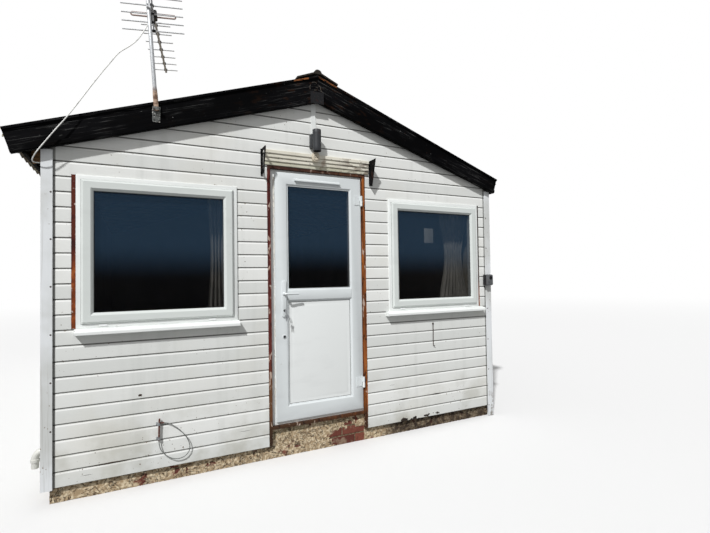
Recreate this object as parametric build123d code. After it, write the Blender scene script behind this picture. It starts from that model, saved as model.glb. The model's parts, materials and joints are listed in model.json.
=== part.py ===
"""A small gable-fronted holiday chalet of painted boards, with a door that opens.

Millimetres, +Z up. The front faces -Y. The origin is on the ground in the middle of
the front wall: X=0 is under the ridge and Y=0 is inside the front wall's thickness.
"""
import os
from math import cos, radians, sin, tan

from build123d import *

os.makedirs("parts", exist_ok=True)

# walls and boarding
chalet_width = 3700           # over the corner boards
chalet_depth = 6000           # over the front and back boarding
stud_wall = 100               # studs with their inside lining
cladding_thickness = 20
board_cover = 98              # height of one shiplap board that shows
board_cove = 22               # height of the hollow along a board's top edge
board_cove_depth = 8
front_set_out = 50            # from Y=0 to the outer face of the front studs
corner_board_width = 62
corner_board_thickness = 12
left_corner_foot = 98         # the left corner boards stop above the lowest ground
right_corner_foot = 2
corner_board_lap = 10         # up behind the bargeboard

# foundation and floor
plinth_thickness = 90
plinth_recess = 10            # behind the outer face of the studs
plinth_height = 228           # under the front wall
floor_thickness = 60
floor_top = 250
cladding_foot = 105

# roof
roof_pitch = 18.9
rafter_plane_apex = 2824      # height of the rafters' undersides where they would meet
rafter_depth = 90
rafter_width = 45
rafter_pairs = 8
purlin_depth = 45
purlin_width = 50
purlins_a_side = 4
purlin_clearance = 2          # between the lowest purlin and the fascia
first_purlin = 240            # down the slope from the apex
sheet_thickness = 6
wave_pitch = 130
wave_height = 30
wave_steps = 6                # straight pieces that make up one wave
sheet_ridge_gap = 30
left_eave_reach = 2110        # down the slope, from the apex line to the sheets' end
right_eave_reach = 2000
ridge_board_thickness = 30
ridge_board_depth = 100
ridge_wing = 176              # from X=0 to a wing's edge
ridge_wing_thickness = 12
ridge_wing_steeper = 3.9      # degrees steeper than the roof
ridge_crease_rise = 57        # above the line where the sheets' tops would meet
ridge_lip = 12                # thickness of the lips that stand on the sheets
ridge_seat = 0.3              # between the lips and the sheets
ridge_roll_radius = 34
ridge_roll_drop = 22          # the roll's centre below the crease of the wings
roll_sides = 16
ridge_pieces = 16             # lengths of capping, each with a collar over the next
ridge_collar_length = 45
ridge_collar_step = 5

# bargeboards and fascias
barge_overhang = 25           # clear space between the boarding and the bargeboard
barge_thickness = 24
barge_foot_drop = 16          # where the lower edges would meet, below the rafters' plane
barge_apex_depth = 218        # from there up to where the upper edges would meet
barge_foot_flatter = 1.1      # degrees flatter than the roof, along the lower edge
barge_left_steeper = 0.2      # degrees steeper than the roof, along the upper edge
barge_right_steeper = 0.6
barge_left_reach = 2094
barge_right_reach = 1969
barge_moulding = 10           # how far the strips stand out of the bargeboard
barge_lower_strip = 34
barge_upper_strip = 16
fascia_thickness = 20
fascia_depth = 122
left_fascia_out = 91          # from the chalet's left corner to its outer face
apex_plate_width = 112
apex_plate_height = 96
apex_plate_thickness = 10
apex_plate_drop = 18          # below the meeting of the bargeboards' lower edges
apex_plate_centre = -12

# windows
window_width = 1020
window_height = 992
window_bottom = 1087
left_window_margin = 185      # from the chalet's corner to the window's frame
right_window_margin = 160
window_frame_face = 55
window_frame_depth = 70
window_proud = 10             # in front of the boarding
sash_face = 45
sash_depth = 40               # behind the frame's front face
sash_proud = 18               # in front of the frame's front face
sash_lap = 17                 # how far the sash covers the frame's face
sash_chamfer = 14
glass_thickness = 28
glass_step = 20               # behind the sash's front face
sill_height = 40
sill_reach = 60               # in front of the boarding
sill_fall = 5
sill_nose = 8
left_sill_horn = 8
right_sill_horn = 38
strip_width = 25
strip_proud = 2

# doorway
lining_left = -414
lining_right = 443
lining_top = 2271
lining_side = 27
lining_head = 24
lining_sill = 24
lining_proud = 2
leaf_left = -350
leaf_right = 404
leaf_bottom = 276
leaf_top = 2228
leaf_lap = 12                 # how far the leaf covers the frame's face
leaf_flange = 16
leaf_depth = 54               # behind the flange
leaf_face_gap = 0.3           # between the flange and the frame's face
leaf_side_gap = 5
frame_set_back = 25           # the frame's face behind the boarding's face
frame_depth = 60
stile_width = 104
top_rail = 102
bottom_rail = 121
middle_rail = 97
middle_rail_bottom = 1207
leaf_chamfer = 10
leaf_glass_step = 13
panel_thickness = 28
panel_step = 16
panel_border = 40
panel_raise = 4

# door furniture
hinge_pin_radius = 5
hinge_bore_clearance = 0.08
hinge_knuckle_radius = 10
hinge_knuckle_length = 44
hinge_joint_gap = 0.5
hinge_heights = (500, 2040)
hinge_axis_forward = 14       # from the leaf's front face to the pin's axis
hinge_flag_width = 62
hinge_flag_height = 80
hinge_flag_thickness = 4
handle_x = -284
handle_plate_width = 34
handle_plate_height = 285
handle_plate_bottom = 1086
handle_plate_thickness = 10
handle_plate_corner = 8
lever_height = 1268
lever_length = 108
lever_radius = 9
lever_stand_off = 44
key_height = 1138
key_radius = 9
key_proud = 5
second_lock_height = 934
second_lock_radius = 13
second_lock_proud = 7
vent_left = -190
vent_right = 203
vent_bottom = 2158
vent_height = 26
vent_depth = 24

# remains of the canopy
batten_left = -435
batten_right = 475
batten_height = 29
batten_count = 4
batten_first_proud = 8
batten_step = 8
bracket_top = 2390
bracket_height = 210
bracket_thickness = 6
left_bracket_x = -452
right_bracket_x = 488
bracket_reach = 120
bracket_foot_reach = 55
bracket_flange = 30
bracket_ring = 12

# wall light, its trunking and the camera
light_x = -24
light_radius = 34
light_bottom = 2402
light_height = 173
light_box_width = 72
light_box_height = 113
light_box_bottom = 2437
light_box_depth = 42
light_rim = 4
light_seat = 2                # how far the tube sinks into the box's front
trunking_width = 36
trunking_depth = 20
socket_width = 58
socket_height = 74
socket_depth = 26
socket_bottom = 2326
socket_corner = 6
trunking_edge = 3
camera_inset = 58             # from the chalet's right corner to its middle
camera_bottom = 1290
camera_width = 86
camera_height = 106
camera_depth = 50
camera_lens_radius = 13
camera_lens_proud = 8
camera_lens_side = 10         # from the camera's middle
camera_lens_drop = 30         # below the camera's top
camera_corner = 6

# small things on the wall
hook_window_side = 44         # left of the right window's middle
hook_top = 950
hook_length = 206
hook_radius = 3
hook_eye = 9                  # outer radius of the eye
hook_tip = 12
rod_x = -1184
rod_bottom = 296
rod_length = 150
rod_radius = 6
rod_clip_width = 34
rod_clip_height = 26
rod_clip_depth = 16
rod_lean = 4                  # sideways, from foot to top
rod_clip_heights = (6, 104)   # from the rod's foot to the clips
waste_y = 90
waste_height = 300
waste_radius = 20
waste_bend = 45
waste_stub = 20
waste_tail = 60
waste_collar = 4
pipe_sides = 12

# aerial
mast_x = -1193                # at the bracket
mast_lean = 3.8               # degrees, its top to the left
mast_radius = 12.5
mast_forward = 23             # from the bargeboard's face to the mast's axis
mast_foot = 2545
mast_length = 800
mast_flat_length = 150
mast_flat_thickness = 14
bracket_plate_width = 50
bracket_plate_height = 100
bracket_plate_bottom = 2472
bracket_plate_thickness = 5
bracket_jaw_width = 44
bracket_jaw_height = 22
boom_height = 705             # up the mast
boom_turn = 8.4               # degrees from +Y towards +X
boom_size = 15
boom_side = 0.3               # between the mast's skin and the boom's side
boom_overhang = 36            # past the last director
director_first = 232          # from the mast's axis
director_spacing = 122
directors = 7
director_length = 200
rod_size = 5                  # radius of the aerial's rods
reflector_place = 34
reflector_spacing = 58
reflectors = 6
reflector_length = 396
dipole_place = 100
dipole_length = 298
dipole_height = 22
dipole_tube = 6
rod_sides = 8
balun_size = 46
balun_height = 60
clamp_thickness = 8
jaw_rise = 4                  # from the mast's foot to the jaw
jaw_gap = 0.3                 # between the jaw and the mast

# cords
cord_sides = 6
cable_radius = 3.5
cable_points = [
    (-1240, -56, 3207), (-1241, -62, 3178), (-1243, -88, 3150), (-1248, -128, 3122),
    (-1266, -158, 3072), (-1302, -168, 2996), (-1355, -166, 2938), (-1417, -160, 2889),
    (-1462, -156, 2818), (-1510, -156, 2744), (-1556, -156, 2668), (-1602, -156, 2590),
    (-1654, -157, 2500), (-1706, -158, 2414), (-1764, -158, 2330), (-1815, -156, 2252),
    (-1862, -142, 2186), (-1888, -112, 2148), (-1892, -78, 2138), (-1880, -54, 2140),
    (-1866, -43, 2142), (-1850, -43, 2142),
]
loop_radius = 3
loop_points = [
    (-1184, -86, 295.7), (-1183, -87, 270), (-1170, -88, 226), (-1134, -88, 182),
    (-1078, -88, 150), (-1012, -88, 160), (-980, -88, 212), (-1000, -88, 284),
    (-1050, -88, 350), (-1104, -86, 396), (-1142, -80, 413), (-1175.2, -80, 413),
]

# places worked out from the sizes
left_window_x = left_window_margin + window_width / 2 - chalet_width / 2
right_window_x = chalet_width / 2 - right_window_margin - window_width / 2
hook_x = right_window_x - hook_window_side
camera_x = chalet_width / 2 - camera_inset
left_fascia_face = chalet_width / 2 + left_fascia_out
clad_front = -front_set_out - cladding_thickness
stud_front = -front_set_out
room_front = stud_front + stud_wall
clad_back = clad_front + chalet_depth
stud_back = clad_back - cladding_thickness
room_back = stud_back - stud_wall
clad_side = chalet_width / 2 - corner_board_thickness
stud_side = clad_side - cladding_thickness
room_side = stud_side - stud_wall
plinth_side = stud_side - plinth_recess
barge_back_face = clad_front - barge_overhang
barge_front_face = barge_back_face - barge_thickness
rear_barge_face = clad_back + barge_overhang
slope = tan(radians(roof_pitch))
slope_height_at_apex = rafter_plane_apex + rafter_depth / cos(radians(roof_pitch))
purlin_plane = rafter_depth
sheet_plane = rafter_depth + purlin_depth
sheet_top = sheet_plane + wave_height + sheet_thickness
frame_face = clad_front + frame_set_back
leaf_face = frame_face - leaf_face_gap - leaf_flange
leaf_back = leaf_face + leaf_flange + leaf_depth
ridge_board_foot = slope_height_at_apex - ridge_board_depth
barge_foot_pitch = roof_pitch - barge_foot_flatter
barge_foot_apex = rafter_plane_apex - barge_foot_drop
barge_top_apex = barge_foot_apex + barge_apex_depth
hinge_x = leaf_right
hinge_y = leaf_face - hinge_axis_forward


def block(x0, x1, y0, y1, z0, z1):
    """A box between two corners."""
    return Pos((x0 + x1) / 2, (y0 + y1) / 2, (z0 + z1) / 2) * Box(x1 - x0, y1 - y0, z1 - z0)


def slope_height(x, above=0):
    """Height of a plane that lies square above the rafters' undersides."""
    return rafter_plane_apex - abs(x) * slope + above / cos(radians(roof_pitch))


def barge_foot(x):
    """Height of the bargeboards' lower edges."""
    return barge_foot_apex - abs(x) * tan(radians(barge_foot_pitch))


def on_slope(shape, apex, pitch):
    """Lay a shape down a slope: X runs down it and Z stands square to it."""
    return Pos(0, 0, apex) * Rot(0, pitch, 0) * shape


def on_right_slope(shape):
    return on_slope(shape, rafter_plane_apex, roof_pitch)


def on_left_slope(shape):
    return mirror(on_right_slope(shape), about=Plane.YZ)


def across_front(outline, y0, y1):
    """Extrude an outline of (x, z) points from y0 back to y1."""
    face = make_face(Polyline(*[(x, y0, z) for x, z in outline], close=True))
    return extrude(face, amount=y1 - y0, dir=(0, 1, 0))


def along_x(outline, x0, x1):
    """Extrude an outline of (y, z) points from x0 to x1."""
    face = make_face(Polyline(*[(x0, y, z) for y, z in outline], close=True))
    return extrude(face, amount=x1 - x0, dir=(1, 0, 0))


def gable(half_width, z0, above, y0, y1):
    """A gable-ended sheet from z0 up to a plane above the rafters' undersides."""
    eave = slope_height(half_width, above)
    outline = [(-half_width, z0), (half_width, z0), (half_width, eave), (0, slope_height(0, above)),
               (-half_width, eave)]
    return across_front(outline, y0, y1)


def ring(x0, x1, z0, z1, sides, y0, y1):
    """A frame of four bars: sides gives the left, right, bottom and top widths."""
    left, right, bottom, top = sides
    outer = block(x0, x1, y0, y1, z0, z1)
    return outer - block(x0 + left, x1 - right, y0 - 1, y1 + 1, z0 + bottom, z1 - top)


def front_edges(shape, y, inside):
    """Edges on the plane at y that lie inside a box given as x0, x1, z0, z1."""
    x0, x1, z0, z1 = inside
    edges = shape.edges().filter_by(lambda e: abs(e.center().Y - y) < 0.01)
    return edges.filter_by(lambda e: x0 < e.center().X < x1 and z0 < e.center().Z < z1)


def together(*shapes):
    """Several solids that share a node."""
    return Compound(children=[solid for shape in shapes for solid in shape.solids()])


def rod_between(start, end, radius):
    """A round bar from one point to another."""
    axis = Vector(*end) - Vector(*start)
    return extrude(Plane(origin=start, z_dir=axis) * Circle(radius), amount=axis.length)


def upright_rod(x, y, z, radius, height):
    """A round bar standing on a point."""
    return Pos(x, y, z) * extrude(Circle(radius), amount=height)


def save(name, shape):
    export_step(shape, f"parts/{name}.step")


def window_places():
    return (("left", left_window_x, left_sill_horn), ("right", right_window_x, right_sill_horn))


def window_box(x):
    """The hole for a window and its sill: x0, x1, z0, z1."""
    half = window_width / 2
    return x - half, x + half, window_bottom - sill_height, window_bottom + window_height


def strip_places():
    """Left edges of the thin strips beside the windows."""
    return left_window_x - window_width / 2 - strip_width, right_window_x + window_width / 2


def make_foundation():
    face = stud_front + plinth_recess
    save("plinth_front", block(-plinth_side, plinth_side, face, room_front, 0, plinth_height))
    floor_bottom = floor_top - floor_thickness
    back_inner = stud_back - plinth_recess - plinth_thickness
    back = block(-plinth_side, plinth_side, back_inner, back_inner + plinth_thickness, 0, floor_bottom)
    save("plinth_back", back)
    side = block(plinth_side - plinth_thickness, plinth_side, room_front, back_inner, 0, floor_bottom)
    save("plinth_sides", together(side, mirror(side, about=Plane.YZ)))
    save("floor", block(-stud_side, stud_side, room_front, stud_back, floor_bottom, floor_top))


def make_walls():
    front = gable(stud_side, plinth_height, purlin_plane, stud_front, room_front)
    for _, x, _ in window_places():
        x0, x1, z0, z1 = window_box(x)
        front -= block(x0, x1, stud_front - 1, room_front + 1, z0, z1)
    far = stud_side + 1
    y0, y1 = stud_front - 1, room_front + 1
    save("front_wall_left", front & block(-far, lining_left, y0, y1, 0, lining_top))
    save("front_wall_right", front & block(lining_right, far, y0, y1, 0, lining_top))
    save("front_gable_wall", front & block(-far, far, y0, y1, lining_top, 2 * rafter_plane_apex))
    save("back_wall", gable(stud_side, floor_top, purlin_plane, room_back, stud_back))
    outline = [(room_side, floor_top), (stud_side, floor_top), (stud_side, slope_height(stud_side)),
               (room_side, slope_height(room_side))]
    side = across_front(outline, room_front, room_back)
    save("right_wall", side)
    save("left_wall", mirror(side, about=Plane.YZ))


def board_outline(top):
    """Outline of stacked shiplap boards, as (depth behind the face, height) points."""
    points = [(cladding_thickness, cladding_foot)]
    height = cladding_foot
    while height + board_cover < top:
        points += [(0, height), (0, height + board_cover - board_cove)]
        points.append((board_cove_depth, height + board_cover))
        height += board_cover
    return points + [(0, height), (0, top), (cladding_thickness, top)]


def make_cladding():
    ridge_top = slope_height(0, purlin_plane)
    outline = board_outline(ridge_top)
    front = along_x([(clad_front + d, z) for d, z in outline], -clad_side, clad_side)
    back = along_x([(clad_back - d, z) for d, z in outline], -clad_side, clad_side)
    front &= gable(clad_side, 0, purlin_plane, clad_front - 1, stud_front + 1)
    back &= gable(clad_side, 0, purlin_plane, stud_back - 1, clad_back + 1)
    y0, y1 = clad_front - 1, stud_front + 1
    for _, x, _ in window_places():
        x0, x1, z0, z1 = window_box(x)
        front -= block(x0, x1, y0, y1, z0, z1)
    for x in strip_places():
        front -= block(x, x + strip_width, y0, y1, window_bottom, window_bottom + window_height)
    front -= block(lining_left, lining_right, y0, y1, 0, lining_top)
    save("front_cladding", front)
    save("back_cladding", back)
    side_outline = board_outline(slope_height(clad_side) - 1)
    right = across_front([(clad_side - d, z) for d, z in side_outline], stud_front, stud_back)
    save("right_cladding", right)
    save("left_cladding", mirror(right, about=Plane.YZ))


def make_corner_boards():
    outer = chalet_width / 2
    top = barge_foot(outer) + corner_board_lap
    boards = []
    for foot, hand in ((right_corner_foot, 1), (left_corner_foot, -1)):
        for face, inward in ((clad_front, 1), (clad_back, -1)):
            edge = face - inward * corner_board_thickness
            y0, y1 = sorted((edge, edge + inward * corner_board_width))
            angle = block(outer - corner_board_width, outer, y0, y1, foot, top)
            y0, y1 = sorted((face, edge + inward * (corner_board_width + 1)))
            angle -= block(outer - corner_board_width - 1, clad_side, y0, y1, foot - 1, top + 1)
            boards.append(angle if hand > 0 else mirror(angle, about=Plane.YZ))
    save("corner_boards", together(*boards))


def make_windows():
    frame_front = clad_front - window_proud
    frame_back = frame_front + window_frame_depth
    top = window_bottom + window_height
    glasses = []
    sills = []
    for name, x, horn in window_places():
        x0, x1, _, _ = window_box(x)
        face = window_frame_face
        frame = ring(x0, x1, window_bottom, top, (face,) * 4, frame_front, frame_back)
        inner = (x0 + 1, x1 - 1, window_bottom + 1, top - 1)
        save(f"{name}_window_frame", frame)
        sx0, sx1, sz0, sz1 = x0 + face, x1 - face, window_bottom + face, top - face
        sash_front = frame_front - sash_proud
        sash = ring(sx0, sx1, sz0, sz1, (sash_face,) * 4, frame_front, frame_front + sash_depth)
        lap = sash_lap
        sash += ring(sx0 - lap, sx1 + lap, sz0 - lap, sz1 + lap, (sash_face + lap,) * 4, sash_front,
                     frame_front)
        sash = chamfer(front_edges(sash, sash_front, inner), sash_chamfer)
        save(f"{name}_window_sash", sash)
        pane_front = sash_front + glass_step
        glasses.append(block(sx0 + sash_face, sx1 - sash_face, pane_front, pane_front + glass_thickness,
                             sz0 + sash_face, sz1 - sash_face))
        sill_bottom = window_bottom - sill_height
        nose = clad_front - sill_reach
        outline = [(frame_back, sill_bottom), (frame_back, window_bottom), (frame_front, window_bottom),
                   (nose + sill_nose, window_bottom - sill_fall),
                   (nose, window_bottom - sill_fall - sill_nose), (nose, sill_bottom)]
        sill = along_x(outline, x0 - horn, x1 + horn)
        for a, b in ((x0 - horn, x0), (x1, x1 + horn)):
            sill -= block(a, b, clad_front, frame_back + 1, sill_bottom - 1, window_bottom + 1)
        sills.append(sill)
    save("window_glass", together(*glasses))
    save("window_sills", together(*sills))
    strips = []
    for x in strip_places():
        strips.append(block(x, x + strip_width, clad_front - strip_proud, stud_front, window_bottom, top))
    save("window_side_strips", together(*strips))


def make_doorway():
    lining_front = clad_front - lining_proud
    sides = (lining_side, lining_side, lining_sill, lining_head)
    lining = ring(lining_left, lining_right, plinth_height, lining_top, sides, lining_front, room_front)
    leg_back = stud_front + plinth_recess
    x0, x1 = lining_left + lining_side, lining_right - lining_side
    for a, b in ((lining_left, x0), (x1, lining_right)):
        lining += block(a, b, lining_front, leg_back, cladding_foot, plinth_height)
    save("door_lining", lining)
    z0, z1 = plinth_height + lining_sill, lining_top - lining_head
    sides = (leaf_left + leaf_lap - x0, x1 - leaf_right + leaf_lap, leaf_bottom + leaf_lap - z0,
             z1 - leaf_top + leaf_lap)
    save("door_frame", ring(x0, x1, z0, z1, sides, frame_face, frame_face + frame_depth))
    brackets = []
    pin_length = 2 * hinge_knuckle_length - hinge_knuckle_radius
    for z in hinge_heights:
        lower = z - hinge_knuckle_length
        knuckle = upright_rod(hinge_x, hinge_y, lower, hinge_knuckle_radius, hinge_knuckle_length)
        x0, x1 = hinge_x + leaf_side_gap / 2, hinge_x + hinge_knuckle_radius
        knuckle += block(x0, x1, hinge_y, frame_face, lower, z)
        knuckle += upright_rod(hinge_x, hinge_y, lower, hinge_pin_radius, pin_length)
        brackets.append(knuckle)
    save("hinge_brackets", together(*brackets))


def leaf_openings():
    """The glazed and the panelled opening of the leaf, each as x0, x1, z0, z1."""
    x0, x1 = leaf_left + stile_width, leaf_right - stile_width
    glazed = (x0, x1, middle_rail_bottom + middle_rail, leaf_top - top_rail)
    panelled = (x0, x1, leaf_bottom + bottom_rail, middle_rail_bottom)
    return glazed, panelled


def make_door():
    reach = leaf_lap + leaf_side_gap
    leaf = block(leaf_left, leaf_right, leaf_face, leaf_face + leaf_flange, leaf_bottom, leaf_top)
    leaf += block(leaf_left + reach, leaf_right - reach, leaf_face, leaf_back, leaf_bottom + reach,
                  leaf_top - reach)
    for x0, x1, z0, z1 in leaf_openings():
        leaf -= block(x0, x1, leaf_face - 1, leaf_back + 1, z0, z1)
    inside = (leaf_left + 1, leaf_right - 1, leaf_bottom + 1, leaf_top - 1)
    leaf = chamfer(front_edges(leaf, leaf_face, inside), leaf_chamfer)
    save("door_leaf", leaf)
    (gx0, gx1, gz0, gz1), (px0, px1, pz0, pz1) = leaf_openings()
    pane_front = leaf_face + leaf_glass_step
    save("door_glass", block(gx0, gx1, pane_front, pane_front + glass_thickness, gz0, gz1))
    panel_front = leaf_face + panel_step
    panel = block(px0, px1, panel_front, panel_front + panel_thickness, pz0, pz1)
    panel += block(px0 + panel_border, px1 - panel_border, panel_front - panel_raise, panel_front,
                   pz0 + panel_border, pz1 - panel_border)
    save("door_panel", panel)
    save("door_handle", make_handles())
    save("door_hinges", make_leaf_hinges())
    vent = [(leaf_face, vent_bottom), (leaf_face, vent_bottom + vent_height),
            (leaf_face - vent_depth, vent_bottom + vent_height / 2), (leaf_face - vent_depth, vent_bottom)]
    save("door_vent", along_x(vent, vent_left, vent_right))


def handle_set(face, out):
    """Plate, lever and cylinder on a face of the leaf: out is -1 outside and 1 inside."""
    def slab(x0, x1, a, b, z0, z1):
        y0, y1 = sorted((face + out * a, face + out * b))
        return block(x0, x1, y0, y1, z0, z1)

    half = handle_plate_width / 2
    plate_top = handle_plate_bottom + handle_plate_height
    plate = slab(handle_x - half, handle_x + half, 0, handle_plate_thickness, handle_plate_bottom,
                 plate_top)
    plate = chamfer(plate.edges().filter_by(Axis.Y), handle_plate_corner)
    surface = face + out * handle_plate_thickness
    stand = surface + out * lever_stand_off
    neck = rod_between((handle_x, surface, lever_height), (handle_x, stand, lever_height), lever_radius)
    lever = rod_between((handle_x - lever_radius, stand, lever_height),
                        (handle_x + lever_length, stand, lever_height), lever_radius)
    key_end = surface + out * key_proud
    key = rod_between((handle_x, surface, key_height), (handle_x, key_end, key_height), key_radius)
    return plate + neck + lever + key


def make_handles():
    outside = handle_set(leaf_face, -1)
    inside = handle_set(leaf_back, 1)
    lock = rod_between((handle_x, leaf_face, second_lock_height),
                       (handle_x, leaf_face - second_lock_proud, second_lock_height), second_lock_radius)
    return together(outside, inside, lock)


def make_leaf_hinges():
    flags = []
    bore_radius = hinge_pin_radius + hinge_bore_clearance
    bore_depth = hinge_knuckle_length - hinge_knuckle_radius / 2
    edge = hinge_x - hinge_knuckle_radius
    for z in hinge_heights:
        start = z + hinge_joint_gap
        top = start + hinge_knuckle_length
        flag = upright_rod(hinge_x, hinge_y, start, hinge_knuckle_radius, hinge_knuckle_length)
        flag += block(edge, hinge_x, hinge_y, leaf_face, start, top)
        flag += block(hinge_x - hinge_flag_width, edge, leaf_face - hinge_flag_thickness, leaf_face,
                      top - hinge_flag_height, top)
        flags.append(flag - upright_rod(hinge_x, hinge_y, start, bore_radius, bore_depth))
    return together(*flags)


def make_roof_timbers():
    rafters = []
    ridge_half = ridge_board_thickness / 2
    first = room_front + rafter_width
    last = room_back - rafter_width
    spacing = (last - first) / (rafter_pairs - 1)
    left_end = left_fascia_face - fascia_thickness
    high = 2 * rafter_plane_apex
    keep_right = block(ridge_half, chalet_width / 2, clad_front, clad_back, 0, high)
    keep_left = block(ridge_half, left_end, clad_front, clad_back, 0, high)
    for i in range(rafter_pairs):
        y0 = first + i * spacing - rafter_width / 2
        bar = on_right_slope(block(-rafter_depth, left_eave_reach, y0, y0 + rafter_width, 0, rafter_depth))
        rafters.append(bar & keep_right)
        rafters.append(mirror(bar & keep_left, about=Plane.YZ))
    save("rafters", together(*rafters))
    y0, y1 = barge_back_face, rear_barge_face
    purlins = []
    pitch = radians(roof_pitch)
    for fascia_inside, lay in ((left_end, on_left_slope), (chalet_width / 2, on_right_slope)):
        last_purlin = (fascia_inside - sheet_plane * sin(pitch)) / cos(pitch)
        last_purlin -= purlin_width + purlin_clearance
        step = (last_purlin - first_purlin) / (purlins_a_side - 1)
        for i in range(purlins_a_side):
            u = first_purlin + i * step
            purlins.append(lay(block(u, u + purlin_width, y0, y1, purlin_plane, sheet_plane)))
    save("purlins", together(*purlins))
    save("ridge_board", make_ridge_board())


def make_ridge_board():
    half = ridge_board_thickness / 2
    top = slope_height(half, purlin_plane)
    board = block(-half, half, barge_back_face, rear_barge_face, ridge_board_foot, top)
    for y0, y1 in ((clad_front, room_front), (room_back, clad_back)):
        board -= block(-half - 1, half + 1, y0, y1, 0, top + 1)
    return board


def corrugated(reach, y0, y1):
    """A corrugated sheet whose waves run down the slope."""
    count = round((y1 - y0) / wave_pitch * wave_steps)
    low = []
    for i in range(count + 1):
        y = y0 + (y1 - y0) * i / count
        rise = wave_height / 2 * (1 - cos(radians(360 * i / wave_steps)))
        low.append((y, sheet_plane + rise))
    high = [(y, z + sheet_thickness) for y, z in reversed(low)]
    return along_x(low + high, sheet_ridge_gap, reach)


def make_roof_covering():
    y0, y1 = barge_back_face, rear_barge_face
    save("roof_right", on_right_slope(corrugated(right_eave_reach, y0, y1)))
    save("roof_left", on_left_slope(corrugated(left_eave_reach, y0, y1)))
    save("ridge_cap", make_ridge_cap())


def roll_between(y0, y1, centre, radius):
    """A length of the ridge's roll."""
    section = Plane(origin=(0, y0, centre), z_dir=(0, 1, 0)) * RegularPolygon(radius, roll_sides)
    return extrude(section, amount=y1 - y0)


def make_ridge_cap():
    """Two wings with lips down to the sheets, and a round roll, in lengths that lap under collars."""
    front = barge_front_face - barge_moulding
    back = rear_barge_face + barge_thickness + barge_moulding
    crease = slope_height(0, sheet_top) + ridge_crease_rise
    fall = tan(radians(roof_pitch + ridge_wing_steeper))
    edge = crease - ridge_wing * fall
    under = ridge_wing_thickness
    outline = [(0, crease), (ridge_wing, edge), (ridge_wing, edge - under), (0, crease - under),
               (-ridge_wing, edge - under), (-ridge_wing, edge)]
    cap = across_front(outline, front, back)
    inner = ridge_wing - ridge_lip
    seat = [(x, slope_height(x, sheet_top) + ridge_seat) for x in (inner, ridge_wing)]
    lip = across_front(seat + [(ridge_wing, edge - under / 2), (inner, edge - under / 2)],
                       barge_back_face, rear_barge_face)
    cap += lip + mirror(lip, about=Plane.YZ)
    centre = crease - ridge_roll_drop
    cap += roll_between(front, back, centre, ridge_roll_radius)
    widest = ridge_roll_radius + ridge_collar_step
    spacing = (back - front) / ridge_pieces
    for i in range(1, ridge_pieces):
        y = front + i * spacing
        cap += roll_between(y, y + ridge_collar_length, centre, widest)
    wing_under, below = crease - under - widest * fall, centre - widest - 1
    roof_side = [(0, crease - under), (widest, wing_under), (widest, below), (-widest, below),
                 (-widest, wing_under)]
    return cap - across_front(roof_side, front - 1, back + 1)


def barge(reach, top_pitch):
    """One bargeboard along +X: it tapers towards the eave and has a moulding along each edge."""
    y0, y1 = barge_front_face, barge_back_face
    lip, half = y0 - barge_moulding, barge_moulding / 2
    far = chalet_width
    ends = [(0, barge_foot_apex), (far, barge_foot_apex - far * tan(radians(barge_foot_pitch))),
            (far, barge_top_apex - far * tan(radians(top_pitch))), (0, barge_top_apex)]
    lower = [(y0, 0), (lip + half, 0), (lip, half), (lip, barge_lower_strip - half),
             (y0, barge_lower_strip)]
    upper = [(y0, -barge_upper_strip), (lip, -barge_upper_strip), (lip, 0), (y0, 0)]
    board = across_front(ends, y0, y1)
    board += on_slope(along_x(lower, -far, far), barge_foot_apex, barge_foot_pitch)
    board += on_slope(along_x(upper, -far, far), barge_top_apex, top_pitch)
    square_end = block(-far, reach, lip, y1, -far, far)
    return board & on_slope(square_end, barge_foot_apex, barge_foot_pitch)


def make_bargeboards():
    beyond = 2 * chalet_width
    keep_right = block(0, beyond, -beyond, beyond, 0, beyond)
    keep_left = mirror(keep_right, about=Plane.YZ)
    right = barge(barge_right_reach, roof_pitch + barge_right_steeper) & keep_right
    left = mirror(barge(barge_left_reach, roof_pitch + barge_left_steeper), about=Plane.YZ) & keep_left
    save("front_bargeboards", together(right, left))
    middle = Plane.XZ.offset(-(barge_back_face + rear_barge_face) / 2)
    save("back_bargeboards", together(mirror(right, about=middle), mirror(left, about=middle)))
    y0, y1 = barge_back_face, rear_barge_face
    fascias = []
    for face in (chalet_width / 2 + fascia_thickness, -left_fascia_face):
        hand = 1 if face > 0 else -1
        x0, x1 = sorted((face, face - hand * fascia_thickness))
        top = slope_height(face, sheet_plane)
        fascias.append(block(x0, x1, y0, y1, top - fascia_depth, top))
    save("eaves_fascias", together(*fascias))
    half = apex_plate_width / 2
    bottom = barge_foot_apex - apex_plate_drop
    front = barge_front_face - barge_moulding
    save("apex_plate", block(apex_plate_centre - half, apex_plate_centre + half,
                             front - apex_plate_thickness, front, bottom, bottom + apex_plate_height))


def make_canopy_remains():
    outline = [(clad_front, lining_top)]
    for i in range(batten_count):
        front = clad_front - batten_first_proud - i * batten_step
        bottom = lining_top + i * batten_height
        outline += [(front, bottom), (front, bottom + batten_height)]
    outline.append((clad_front, lining_top + batten_count * batten_height))
    save("canopy_battens", along_x(outline, batten_left, batten_right))
    save("canopy_brackets", make_canopy_brackets())


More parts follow.
